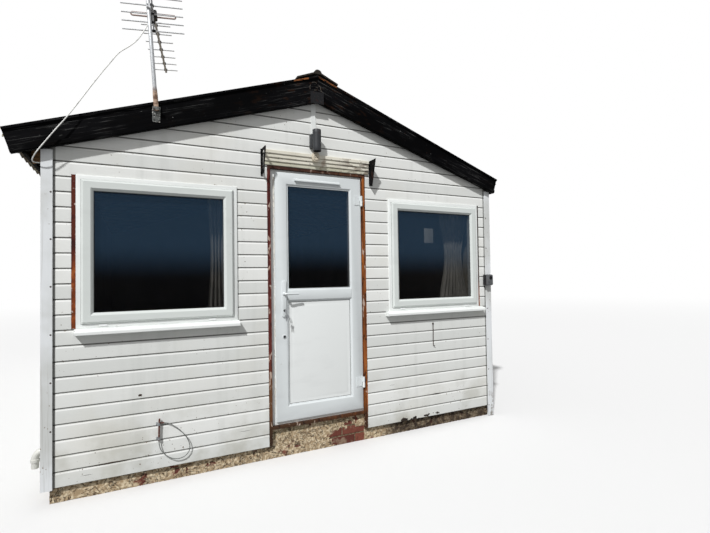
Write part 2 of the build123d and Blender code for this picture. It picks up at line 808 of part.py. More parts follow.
def make_canopy_brackets():
    """Two gusset plates with wall flanges: the left one is cut out to a loop."""
    bottom = bracket_top - bracket_height
    gusset = [(clad_front, bottom), (clad_front, bracket_top), (clad_front - bracket_reach, bracket_top),
              (clad_front - bracket_foot_reach, bottom)]
    hole_back, hole_top = clad_front - bracket_ring, bracket_top - bracket_ring
    hole_bottom = bottom + 3 * bracket_ring
    hole = [(hole_back, hole_bottom), (hole_back, hole_top),
            (clad_front - bracket_reach + 2 * bracket_ring, hole_top),
            (clad_front - bracket_foot_reach, hole_bottom)]
    half = bracket_thickness / 2
    flange_front = clad_front - bracket_thickness
    right = along_x(gusset, right_bracket_x - half, right_bracket_x + half)
    right += block(right_bracket_x, right_bracket_x + bracket_flange, flange_front, clad_front, bottom,
                   bracket_top)
    left = along_x(gusset, left_bracket_x - half, left_bracket_x + half)
    left -= along_x(hole, left_bracket_x - bracket_thickness, left_bracket_x + bracket_thickness)
    left += block(left_bracket_x - bracket_flange, left_bracket_x, flange_front, clad_front, bottom,
                  bracket_top)
    return together(left, right)


def make_wall_light():
    box_front = clad_front - light_box_depth
    half = light_box_width / 2
    light = block(light_x - half, light_x + half, box_front, clad_front, light_box_bottom,
                  light_box_bottom + light_box_height)
    centre = box_front - light_radius + light_seat
    light += upright_rod(light_x, centre, light_bottom, light_radius, light_height)
    for z in (light_bottom, light_bottom + light_height - light_rim):
        light -= upright_rod(light_x, centre, z, light_radius - light_rim, light_rim)
    save("wall_light", light)


def make_light_trunking():
    """The channel from the light up to the apex, and the old socket below the light."""
    half = trunking_width / 2
    foot = light_box_bottom + light_box_height
    run = block(light_x - half, light_x + half, clad_front - trunking_depth, clad_front, foot,
                ridge_board_foot)
    run = chamfer(run.edges().filter_by(Axis.Z).group_by(Axis.Y)[0], trunking_edge)
    batten_front = clad_front - batten_first_proud - (batten_count - 1) * batten_step
    half = socket_width / 2
    socket = block(light_x - half, light_x + half, batten_front - socket_depth, batten_front, socket_bottom,
                   socket_bottom + socket_height)
    socket = fillet(socket.edges().filter_by(Axis.Y), socket_corner)
    save("light_trunking", together(run, socket))


def make_wall_camera():
    half = camera_width / 2
    back = clad_front - corner_board_thickness
    front = back - camera_depth
    body = block(camera_x - half, camera_x + half, front, back, camera_bottom,
                 camera_bottom + camera_height)
    body = fillet(body.edges().filter_by(Axis.Y), camera_corner)
    x, z = camera_x + camera_lens_side, camera_bottom + camera_height - camera_lens_drop
    lens = rod_between((x, front, z), (x, front - camera_lens_proud, z), camera_lens_radius)
    save("wall_camera", body + lens)


def make_door_hook():
    y = clad_front - hook_radius
    foot = hook_top - hook_length
    hook = rod_between((hook_x, y, foot), (hook_x, y, hook_top), hook_radius)
    hook += rod_between((hook_x, y, foot), (hook_x + hook_tip, y - hook_tip, foot), hook_radius)
    eye = rod_between((hook_x, clad_front, hook_top), (hook_x, y - hook_radius, hook_top), hook_eye)
    eye -= rod_between((hook_x, clad_front + 1, hook_top), (hook_x, y - 2 * hook_radius, hook_top),
                       hook_eye - hook_radius)
    save("door_hook", hook + eye)


def make_cable_hook():
    y = clad_front - rod_clip_depth
    rod = rod_between((rod_x, y, rod_bottom), (rod_x + rod_lean, y, rod_bottom + rod_length), rod_radius)
    half = rod_clip_width / 2
    for rise in rod_clip_heights:
        z = rod_bottom + rise
        rod += block(rod_x - half, rod_x + half / 2, y, clad_front, z, z + rod_clip_height)
    save("cable_hook", rod)


def make_waste_elbow():
    """The end of a waste pipe: out of the wall and down."""
    start = (-clad_side, waste_y, waste_height)
    corner = (-clad_side - waste_stub - waste_bend, waste_y, waste_height)
    end = (corner[0], waste_y, waste_height - waste_bend - waste_tail)
    path = FilletPolyline(start, corner, end, radius=waste_bend)
    section = Plane(origin=path @ 0, z_dir=path % 0) * RegularPolygon(waste_radius, pipe_sides)
    elbow = sweep(section, path=path)
    collar_end = (-clad_side - waste_stub, waste_y, waste_height)
    elbow += rod_between(start, collar_end, waste_radius + waste_collar)
    save("waste_elbow", elbow)


def on_mast(shape):
    """Lay a shape made about an upright mast at the origin onto the leaning mast."""
    return Pos(mast_x, barge_front_face - mast_forward, mast_foot) * Rot(0, -mast_lean, 0) * shape


def on_boom(shape):
    """Turn a shape made along +Y into the boom's direction, at its height on the mast."""
    return on_mast(Pos(0, 0, boom_height) * Rot(0, 0, -boom_turn) * shape)


def make_mast():
    tube = upright_rod(0, 0, mast_flat_length, mast_radius, mast_length - mast_flat_length)
    half = mast_flat_thickness / 2
    save("aerial_mast", on_mast(tube + block(-mast_radius, mast_radius, -half, half, 0, mast_flat_length)))
    half = bracket_plate_width / 2
    plate_front = barge_front_face - bracket_plate_thickness
    bracket = block(mast_x - half, mast_x + half, plate_front, barge_front_face, bracket_plate_bottom,
                    bracket_plate_bottom + bracket_plate_height)
    half = bracket_jaw_width / 2
    jaw_front = barge_front_face - mast_forward + mast_flat_thickness / 2 + jaw_gap
    jaw_bottom = mast_foot + jaw_rise
    bracket += block(mast_x - half, mast_x + half, jaw_front, plate_front, jaw_bottom,
                     jaw_bottom + bracket_jaw_height)
    save("mast_bracket", bracket)


def cross_rod(x, y, z, length, radius):
    """A rod across the boom, its middle at a point."""
    section = Plane(origin=(x - length / 2, y, z), z_dir=(1, 0, 0)) * RegularPolygon(radius, rod_sides)
    return extrude(section, amount=length)


def make_aerial():
    """A directional aerial along +Y: directors ahead, a folded dipole, and reflectors behind."""
    side = mast_radius + boom_side + boom_size / 2
    half = boom_size / 2
    boom_end = director_first + (directors - 1) * director_spacing + boom_overhang
    aerial = block(side - half, side + half, -2 * boom_size, boom_end, -half, half)
    spine = reflector_spacing * (reflectors - 1) / 2 + rod_size
    y0, y1 = reflector_place - rod_size, reflector_place + rod_size
    aerial += block(side - rod_size, side + rod_size, y0, y1, -spine, spine)
    clamp = mast_radius + boom_side
    aerial += block(-clamp, side, -clamp - clamp_thickness, -clamp, -boom_size, boom_size)
    for i in range(directors):
        aerial += cross_rod(side, director_first + i * director_spacing, 0, director_length, rod_size)
    for i in range(reflectors):
        z = (i - (reflectors - 1) / 2) * reflector_spacing
        aerial += cross_rod(side, reflector_place, z, reflector_length, rod_size)
    for z in (-dipole_height / 2, dipole_height / 2):
        aerial += cross_rod(side, dipole_place, z, dipole_length, dipole_tube)
    for x in (side - dipole_length / 2, side + dipole_length / 2):
        y0, y1 = dipole_place - dipole_tube, dipole_place + dipole_tube
        aerial += block(x - dipole_tube, x + dipole_tube, y0, y1, -dipole_height / 2, dipole_height / 2)
    half = balun_size / 2
    aerial += block(side - half, side + half, dipole_place - half, dipole_place + half, -balun_height / 2,
                    balun_height / 2)
    save("aerial", on_boom(aerial))


def cord_radii(points):
    """One bend radius for each corner: as large as the shorter run beside it allows."""
    radii = []
    for before, corner, after in zip(points, points[1:], points[2:]):
        arriving = Vector(*corner) - Vector(*before)
        leaving = Vector(*after) - Vector(*corner)
        turn = radians(arriving.get_angle(leaving))
        radii.append(0.45 * min(arriving.length, leaving.length) / tan(turn / 2))
    return radii


def make_cord(name, points, radius):
    radii = cord_radii(points)
    path = FilletPolyline(*points, radius=radii)
    tube = sweep(Plane(origin=path @ 0, z_dir=path % 0) * RegularPolygon(radius, cord_sides), path=path)
    print(name, "length", round(path.length), "volume", round(tube.volume / 1000), "radii",
          [round(r) for r in radii])
    save(name, tube)


make_foundation()
make_walls()
make_cladding()
make_corner_boards()
make_windows()
make_doorway()
make_door()
make_roof_timbers()
make_roof_covering()
make_bargeboards()
make_canopy_remains()
make_wall_light()
make_light_trunking()
make_wall_camera()
make_door_hook()
make_cable_hook()
make_waste_elbow()
make_mast()
make_aerial()
make_cord("aerial_cable", cable_points, cable_radius)
make_cord("cable_loop", loop_points, loop_radius)
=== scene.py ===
import json
import math
import random

import bmesh
import bpy
from mathutils import Matrix, Vector, noise

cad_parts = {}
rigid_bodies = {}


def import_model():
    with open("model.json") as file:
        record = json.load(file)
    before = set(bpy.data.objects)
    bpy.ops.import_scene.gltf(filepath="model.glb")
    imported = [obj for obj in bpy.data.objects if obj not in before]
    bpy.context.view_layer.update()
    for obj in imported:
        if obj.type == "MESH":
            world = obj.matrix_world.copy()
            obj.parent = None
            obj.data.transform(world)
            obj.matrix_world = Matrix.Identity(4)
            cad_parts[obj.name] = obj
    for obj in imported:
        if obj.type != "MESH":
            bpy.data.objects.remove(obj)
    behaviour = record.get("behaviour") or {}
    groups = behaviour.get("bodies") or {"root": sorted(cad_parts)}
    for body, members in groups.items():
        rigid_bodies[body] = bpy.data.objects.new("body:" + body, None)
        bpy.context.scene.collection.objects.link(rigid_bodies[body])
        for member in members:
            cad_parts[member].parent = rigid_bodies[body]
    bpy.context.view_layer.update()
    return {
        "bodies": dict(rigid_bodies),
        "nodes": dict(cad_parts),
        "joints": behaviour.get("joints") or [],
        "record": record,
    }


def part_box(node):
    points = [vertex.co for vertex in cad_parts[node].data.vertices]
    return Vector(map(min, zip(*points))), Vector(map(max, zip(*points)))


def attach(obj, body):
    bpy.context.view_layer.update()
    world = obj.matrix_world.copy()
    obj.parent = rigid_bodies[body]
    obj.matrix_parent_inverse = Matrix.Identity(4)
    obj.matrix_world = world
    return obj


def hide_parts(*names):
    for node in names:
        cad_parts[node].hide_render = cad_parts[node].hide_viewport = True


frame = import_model()
nodes = frame["nodes"]

# sizes that several pieces share, in metres
chalet = {
    "pitch": math.radians(18.9), "bargePitch": math.radians(18.2),
    "rafterPlane": 2.824,      # the rafters' undersides, at the apex
    "sheetPlane": 0.135,       # the sheets' lowest line, square above the rafters' undersides
    "waveLength": 0.130, "boardFoot": 0.105, "boardCover": 0.098,
    "wall": -0.070,            # the front boards' face
}


def linear(*shade):            # a colour as a screen shows it, 0 to 255
    parts = [part / 255 for part in shade]
    return (*[part / 12.92 if part <= 0.04045 else ((part + 0.055) / 1.055) ** 2.4 for part in parts], 1.0)


def darker(shade, share):
    return tuple(part * share for part in shade)


# shader maths as plain expressions

class Wire:                    # one output of a node
    def __init__(self, finish, socket):
        self.finish, self.socket = finish, socket

    def __add__(self, other):
        return self.finish.maths("ADD", self, other)

    def __radd__(self, other):
        return self.finish.maths("ADD", other, self)

    def __sub__(self, other):
        return self.finish.maths("SUBTRACT", self, other)

    def __rsub__(self, other):
        return self.finish.maths("SUBTRACT", other, self)

    def __mul__(self, other):
        return self.finish.maths("MULTIPLY", self, other)

    def __rmul__(self, other):
        return self.finish.maths("MULTIPLY", other, self)

    def __truediv__(self, other):
        return self.finish.maths("DIVIDE", self, other)

    def __rtruediv__(self, other):
        return self.finish.maths("DIVIDE", other, self)


class Finish:                  # one material and the nodes behind it
    def __init__(self, name, **fixed):
        self.material = bpy.data.materials.new(name)
        self.material.use_nodes = True
        self.tree = self.material.node_tree
        self.shader = self.tree.nodes["Principled BSDF"]
        self.place = self.add("ShaderNodeTexCoord", out="Object")
        for socket, value in fixed.items():
            self.shader.inputs[socket.replace("_", " ")].default_value = value

    def link(self, value, socket):  # colours may be given as a screen shows them
        if isinstance(value, Wire):
            self.tree.links.new(value.socket, socket)
        elif socket.type == "RGBA" and len(value) == 3:
            socket.default_value = linear(*value)
        else:
            socket.default_value = value

    def add(self, kind, settings=None, sockets=None, out=0):
        node = self.tree.nodes.new(kind)
        for key, value in (settings or {}).items():
            setattr(node, key, value)
        for key, value in (sockets or {}).items():
            self.link(value, node.inputs[key])
        return Wire(self, node.outputs[out])

    def maths(self, operation, *values):
        return self.add("ShaderNodeMath", {"operation": operation}, dict(enumerate(values)))

    def clamp(self, value):
        return self.add("ShaderNodeClamp", None, {"Value": value})

    def step(self, value, low, high):  # 0 below low, 1 above high, smooth between
        settings = {"interpolation_type": "SMOOTHSTEP"}
        return self.add("ShaderNodeMapRange", settings, {"Value": value, "From Min": low, "From Max": high})

    def axis(self, name):
        return self.add("ShaderNodeSeparateXYZ", None, {0: self.place}, name)

    def turn(self, angle):     # the place turned about the front-to-back axis
        sockets = {"Vector": self.place, "Angle": angle}
        return self.add("ShaderNodeVectorRotate", {"rotation_type": "Y_AXIS"}, sockets)

    def stretch(self, scale, place=None):
        sockets = {0: place or self.place, 1: scale}
        return self.add("ShaderNodeVectorMath", {"operation": "MULTIPLY"}, sockets) if scale else sockets[0]

    def noise(self, scale, detail=3.0, stretch=None, place=None, distortion=0.0):
        sockets = {"Vector": self.stretch(stretch, place), "Scale": scale, "Detail": detail,
                   "Roughness": 0.55, "Distortion": distortion}
        return self.add("ShaderNodeTexNoise", None, sockets)

    def patches(self, scale, detail, low, high, stretch=None, place=None):
        return self.step(self.noise(scale, detail, stretch, place), low, high)

    def cells(self, scale, stretch=None, feature="F1"):
        sockets = {"Vector": self.stretch(stretch), "Scale": scale}
        return self.add("ShaderNodeTexVoronoi", {"feature": feature}, sockets, "Distance")

    def mix(self, share, first, second):
        return self.add("ShaderNodeMix", {"data_type": "RGBA"}, {0: share, 6: first, 7: second}, 2)

    def start(self, share, first, second):
        self.colour = self.mix(share, first, second)

    def coat(self, share, shade):  # lay a colour over what is there
        self.colour = self.mix(share, self.colour, shade)

    def tone(self):            # the own number of each board, brick or sheet, 0 to 1
        return self.add("ShaderNodeAttribute", {"attribute_name": "tone"}, out="Fac")

    def finish(self, roughness, bump=None, depth=0.001, strength=1.0, metallic=None):
        ends = {"Base Color": self.colour, "Roughness": roughness}
        if metallic is not None:
            ends["Metallic"] = metallic
        if bump is not None:
            ends["Normal"] = self.add("ShaderNodeBump", None, {"Height": bump, "Distance": depth,
                                                              "Strength": strength}, "Normal")
        for socket, value in ends.items():
            self.link(value, self.shader.inputs[socket])
        return self.material


# the finishes

def boardPaint(name, along="X"):
    f = Finish(name, Specular_IOR_Level=0.3)
    height = f.axis("Z")
    row = f.maths("FRACT", (height - chalet["boardFoot"]) / chalet["boardCover"])
    cove = f.step(row, 0.895, 0.95)
    lip = 1 - f.step(row, 0.0, 0.05)
    rim = f.step(row, 0.80, 0.84) * (1 - f.step(row, 0.88, 0.895))  # painted highlight on the sunlit turn of the cove
    grain = f.noise(1.0, 4, (1.6, 60, 60) if along == "X" else (60, 1.6, 60))
    streak = f.noise(1.0, 3, (9, 9, 0.5))
    f.start(f.tone(), (214, 216, 213), (232, 233, 230))
    f.coat(f.step(streak, 0.5, 0.75) * 0.30, (188, 190, 186))
    f.coat(f.patches(1.7, 3, 0.5, 0.72) * 0.22, (205, 200, 184))
    # painted highlight along each cove
    f.coat(rim * 0.55, (252, 252, 250))
    # painted shade, with dirt, in each board's cove and along its lower lip
    f.coat(f.clamp(cove * 0.8 + lip * 0.3), (98, 97, 94))
    damp = f.step(0.75 - height, 0.0, 0.7) * f.patches(4, 4, 0.42, 0.7)
    f.coat(damp * 0.45, (150, 146, 126))
    edge = f.clamp(cove + lip + f.step(0.45 - height, 0.0, 0.35) * 0.5)
    chip = f.step(f.noise(55, 2) + edge * 0.06, 0.70, 0.73) * f.patches(2.3, 2, 0.48, 0.6)
    f.coat(chip * 0.85, (112, 98, 84))
    if along == "X":           # painted shade of the corner boards, with dirt, in the joint beside them
        f.coat(f.step(f.maths("ABSOLUTE", f.axis("X")), 1.771, 1.777) * 0.75, (66, 66, 62))
    return f.finish(0.42 + streak * 0.25, grain * 0.5 + streak * 0.2 - chip * 0.5, 0.0016, 0.5)


def cornerPaint(name):
    f = Finish(name, Specular_IOR_Level=0.3)
    streak = f.noise(1.0, 4, (60, 60, 1.8))
    f.start(f.patches(3.0, 3, 0.4, 0.7), (228, 231, 233), (204, 206, 204))
    f.coat(f.step(streak, 0.54, 0.7) * 0.35, (160, 158, 150))
    foot = f.step(0.40 - f.axis("Z"), 0.0, 0.35) * f.patches(18, 4, 0.52, 0.64)
    foot = foot * f.step(f.axis("X"), -1.0, 1.0)  # the right one is the worse
    f.coat(foot * 0.7, (108, 96, 80))
    chip = f.patches(42, 3, 0.66, 0.70) * f.patches(3.1, 2, 0.5, 0.62)
    f.coat(chip * 0.8, (120, 98, 76))
    return f.finish(0.5 + streak * 0.2, streak - chip * 0.5 - foot * 0.3, 0.0015, 0.5)


def darkenEnd(f):              # soot-dark masonry under the boards right of the door
    share = f.step(f.axis("X"), 0.56, 0.72) * (0.62 + f.patches(21, 4, 0.4, 0.6) * 0.3)
    f.coat(share, (44, 33, 29))


def brickFinish(name):
    f = Finish(name, Specular_IOR_Level=0.2)
    crumb, patch = f.noise(55, 4), f.noise(14, 3)
    f.start(f.tone(), (98, 54, 46), (130, 76, 62))
    f.coat(f.step(crumb, 0.45, 0.7) * 0.5, (74, 42, 38))
    f.coat(f.step(patch, 0.50, 0.64) * 0.6, (164, 146, 124))
    darkenEnd(f)
    return f.finish(0.92, crumb + patch, 0.005, 0.7)


def mortarFinish(name, darkEnd=True):
    f = Finish(name, Specular_IOR_Level=0.2)
    crumb = f.noise(80, 4)
    f.start(f.step(crumb, 0.35, 0.7), (96, 82, 64), (150, 134, 110))
    if darkEnd:
        darkenEnd(f)
    return f.finish(0.95, crumb, 0.004, 0.8)


def clothFinish(name, shade=(220, 217, 208), threads=900):
    f = Finish(name, Specular_IOR_Level=0.15)
    weave = f.maths("SINE", f.axis("X") * threads) * f.maths("SINE", f.axis("Z") * threads)
    cloud = f.noise(6, 3)
    f.start(f.step(cloud, 0.35, 0.7), shade, darker(shade, 0.86))
    return f.finish(0.85 + cloud * 0.1, weave, 0.0003, 0.3)


def whitePlastic(name, shade=(214, 219, 216), gloss=0.27):
    f = Finish(name, Coat_Weight=0.15, Coat_Roughness=0.15)
    smear, fine = f.noise(2.2, 4, (1, 1, 3)), f.noise(38, 3)
    f.start(f.step(smear, 0.5, 0.75) * 0.35, shade, darker(shade, 0.9))
    f.coat(f.step(fine, 0.66, 0.74) * f.patches(1.1, 2, 0.5, 0.65) * 0.4, (150, 144, 130))
    return f.finish(gloss + smear * 0.18, fine, 0.0004, 0.12)


def darkGlass(name, low=1.38, high=1.66):  # dark low down, a blue bloom above: a painted reflection of the sky over dark ground
    f = Finish(name, IOR=1.5, Alpha=0.48, Specular_IOR_Level=0.12)
    f.start(f.step(f.axis("Z"), low, high), (4, 4, 6), (42, 63, 83))
    return f.finish(0.02 + f.patches(3, 3, 0.5, 0.8, (1, 1, 0.4)) * 0.06)


def tarredBoard(name, angle):  # angle is the board's slope: each half turns its own way
    f = Finish(name, Specular_IOR_Level=0.04)
    place = f.turn(f.maths("SIGN", f.axis("X")) * -angle) if angle else f.place
    grain = f.noise(1.0, 5, (2.2, 40, 75), place)
    patch = f.noise(2.6, 3, (1, 1, 2), place)
    scuff = f.patches(1.0, 3, 0.585, 0.64, (5, 30, 260), place) * f.step(patch, 0.44, 0.58)
    dab = f.patches(30, 2, 0.71, 0.74, (1, 1, 1.6), place) * f.patches(3.3, 2, 0.5, 0.62)
    apex = 1 - f.step(f.maths("ABSOLUTE", f.axis("X")), 0.15, 0.75)
    f.start(f.step(patch, 0.4, 0.7), (3, 3, 4), (12, 12, 14))
    f.coat(f.patches(9, 3, 0.54, 0.66, (1, 1, 3), place) * (apex * 0.45 + 0.03), (50, 30, 17))
    f.coat(scuff * 0.55, (92, 92, 91))
    f.coat(dab * 0.6, (150, 150, 148))
    return f.finish(0.5 + patch * 0.3 + scuff * 0.15, grain + scuff * 0.4 + dab * 0.5, 0.003, 0.7)


def flakingTimber(name):
    f = Finish(name, Specular_IOR_Level=0.3)
    height = f.axis("Z")
    grain = f.noise(1.0, 4, (70, 40, 2.4))
    flake = f.noise(24, 4, (1, 1, 0.45), distortion=0.6)
    rightward = f.step(f.axis("X"), -0.3, 0.42)
    fibre = f.step(grain, 0.35, 0.7)
    f.start(rightward, f.mix(fibre, (62, 18, 16), (108, 46, 38)), f.mix(fibre, (86, 42, 12), (172, 98, 40)))
    f.coat(f.step(0.80 - height, 0.0, 0.3) * (1 - rightward) * 0.75, (104, 74, 46))
    f.coat(f.step(0.36 - height, 0.0, 0.16) * 0.8, (46, 32, 20))
    f.coat(f.step(height, 2.225, 2.250) * 0.8, (56, 36, 26))
    f.coat(f.step(flake, 0.60, 0.66) * 0.75, (204, 184, 168))
    f.coat(f.step(0.42 - flake, 0.0, 0.06) * 0.8, (28, 12, 8))
    return f.finish(0.75, grain * 0.5 + flake, 0.004, 0.8)


def rustStrip(name):
    f = Finish(name, Specular_IOR_Level=0.3)
    height = f.axis("Z")
    coarse = f.noise(13, 4, (1, 1, 0.6), distortion=0.8)
    ramp = f.tree.nodes.new("ShaderNodeValToRGB")
    f.link(coarse, ramp.inputs[0])
    stops = ((0.34, (28, 8, 6)), (0.48, (92, 30, 12)), (0.58, (138, 66, 22)), (0.74, (166, 96, 44)))
    while len(ramp.color_ramp.elements) < len(stops):
        ramp.color_ramp.elements.new(0.5)
    for element, (spot, shade) in zip(ramp.color_ramp.elements, stops):
        element.position, element.color = spot, linear(*shade)
    f.colour = Wire(f, ramp.outputs[0])
    f.coat(f.step(1.7 - height, 0.0, 0.5) * 0.45, (140, 70, 20))
    f.coat(f.step(height, 1.45, 1.62) * (0.45 + f.step(coarse, 0.4, 0.6) * 0.4), (70, 20, 12))
    upper = f.step(f.axis("X"), 0.5, 1.0) * f.step(height, 1.22, 1.40)  # the right one is bare low down
    f.coat(upper * 0.85, (46, 44, 42))
    f.coat(f.patches(40, 2, 0.64, 0.7) * 0.7, (206, 190, 180))
    return f.finish(0.8, coarse, 0.004, 0.8)


def masonryFinish(name, darkEnd=False):
    f = Finish(name, Specular_IOR_Level=0.2)
    patch, crumb = f.noise(9, 4, distortion=0.5), f.noise(60, 4)
    render = f.mix(f.step(crumb, 0.4, 0.7), (170, 148, 118), (230, 214, 184))
    brick = f.mix(f.step(crumb, 0.4, 0.65), (96, 54, 46), (138, 88, 72))
    f.start(f.step(patch + f.tone() * 0.25, 0.73, 0.79), render, brick)
    f.coat(f.patches(17, 3, 0.58, 0.72) * 0.5, (126, 104, 78))
    crack = f.maths("ABSOLUTE", f.noise(13, 5, distortion=1.8) - 0.5)
    crack = 1 - f.step(crack, 0.006, 0.022)
    f.coat(crack * 0.85, (46, 34, 26))
    # the upper part darkened in olive patches: painted shade under the overhanging boards
    shadeUnderBoards = f.step(f.axis("Z"), 0.12, 0.24) * f.patches(6, 3, 0.5, 0.65)
    f.coat(shadeUnderBoards * 0.5, (120, 118, 84))
    if darkEnd:
        darkenEnd(f)
    return f.finish(0.9, crumb + patch - crack * 0.6, 0.006, 0.8)


def cementSheet(name, angle, shade=1.0):
    f = Finish(name, Specular_IOR_Level=0.2)
    streak = f.noise(1.0, 4, (0.7, 26, 1), f.turn(angle))
    lichen = f.noise(16, 5, distortion=0.4)
    spot = f.cells(34, feature="SMOOTH_F1")
    spots = f.step(0.17 - spot, 0.0, 0.08) * f.step(lichen, 0.48, 0.56) * 0.8
    rust = f.patches(5, 4, 0.58, 0.68) * f.step(streak, 0.42, 0.6)
    f.start(f.patches(1.3, 4, 0.35, 0.7), darker((112, 102, 90), shade), darker((146, 134, 116), shade))
    for share, tint in ((f.step(streak, 0.5, 0.72) * 0.6, (70, 62, 54)),
                        (f.step(lichen, 0.56, 0.64) * 0.65, (176, 170, 148)),
                        (spots, (196, 192, 172)), (rust * 0.5, (122, 84, 50))):
        f.coat(share, darker(tint, shade))
    return f.finish(0.88, lichen + spot * 0.4, 0.004, 0.7)


def sawnTimber(name, light=(150, 116, 80), dark=(104, 76, 50), along="X"):
    f = Finish(name, Specular_IOR_Level=0.25)
    grain = f.noise(1.0, 5, (2, 45, 45) if along == "X" else (45, 2, 45), distortion=0.3)
    f.start(f.step(grain, 0.35, 0.68), dark, light)
    f.coat(f.step(0.13 - f.cells(2.6, (1, 1, 1)), 0.0, 0.08) * 0.6, (62, 40, 24))
    f.coat(f.patches(3, 3, 0.5, 0.75) * 0.3, (92, 84, 74))
    return f.finish(0.75, grain, 0.0012, 0.6)


def liningPaint(name):
    f = Finish(name, Specular_IOR_Level=0.3)
    cloud = f.noise(2.0, 3)
    f.start(f.step(cloud, 0.4, 0.7), (206, 200, 184), (192, 186, 168))
    return f.finish(0.6 + cloud * 0.2, f.noise(90, 2), 0.0006, 0.25)


def galvanised(name, foot=None, metallic=0.85, pale=(182, 185, 188)):
    f = Finish(name, Metallic=metallic)
    grime = f.noise(14, 3, (1, 1, 0.3))
    rough = 0.34 + grime * 0.25
    f.start(f.step(f.cells(120), 0.1, 0.6), darker(pale, 0.84), pale)
    if not foot:
        return f.finish(rough, grime, 0.0006, 0.3)
    rust = 1 - f.step(f.axis("Z") + (grime - 0.5) * 0.16, *foot)  # between two heights
    f.coat(rust, f.mix(f.patches(30, 3, 0.4, 0.6), (112, 84, 66), (186, 160, 140)))
    return f.finish(rough + rust * 0.3, grime, 0.001, 0.4, metallic - rust * metallic)


def paintedIron(name, shade=(22, 23, 25), rusty=0.6, gloss=0.4, wear=(112, 118, 120), shine=0.4):
    f = Finish(name, Specular_IOR_Level=shine)
    patch, fine = f.noise(22, 4), f.noise(90, 3)
    f.start(f.step(patch, 0.56, 0.64) * rusty, shade, (92, 48, 28))
    f.coat(f.step(fine + patch * 0.4, 0.78, 0.84) * rusty, wear)
    return f.finish(gloss + patch * 0.25, patch, 0.0012, 0.4)


def plainSheath(name, shade, gloss=0.5):
    f = Finish(name)
    grime = f.noise(26, 3)
    f.start(f.step(grime, 0.5, 0.7) * 0.7, shade, darker(shade, 0.72))
    return f.finish(gloss + grime * 0.15, grime, 0.0004, 0.3)


def mouldyPaint(name):
    f = Finish(name, Specular_IOR_Level=0.3)
    mould, grain = f.noise(30, 4, (1, 1, 2)), f.noise(1.0, 4, (3, 60, 90))
    f.start(f.patches(4, 3, 0.4, 0.7), (226, 222, 208), (206, 201, 184))
    f.coat(f.step(mould, 0.62, 0.70) * 0.7, (84, 76, 62))
    f.coat(f.patches(11, 3, 0.62, 0.7) * 0.5, (150, 120, 80))
    f.coat(f.step(2.302 - f.axis("Z"), 0.0, 0.006) * 0.35, (146, 150, 116))
    peeled = f.step(f.axis("X"), 0.13, 0.34) * f.patches(15, 4, 0.49, 0.56, (1, 1, 2.4))
    f.coat(peeled * 0.6, (92, 70, 56))
    return f.finish(0.65, mould + grain * 0.5, 0.002, 0.6)


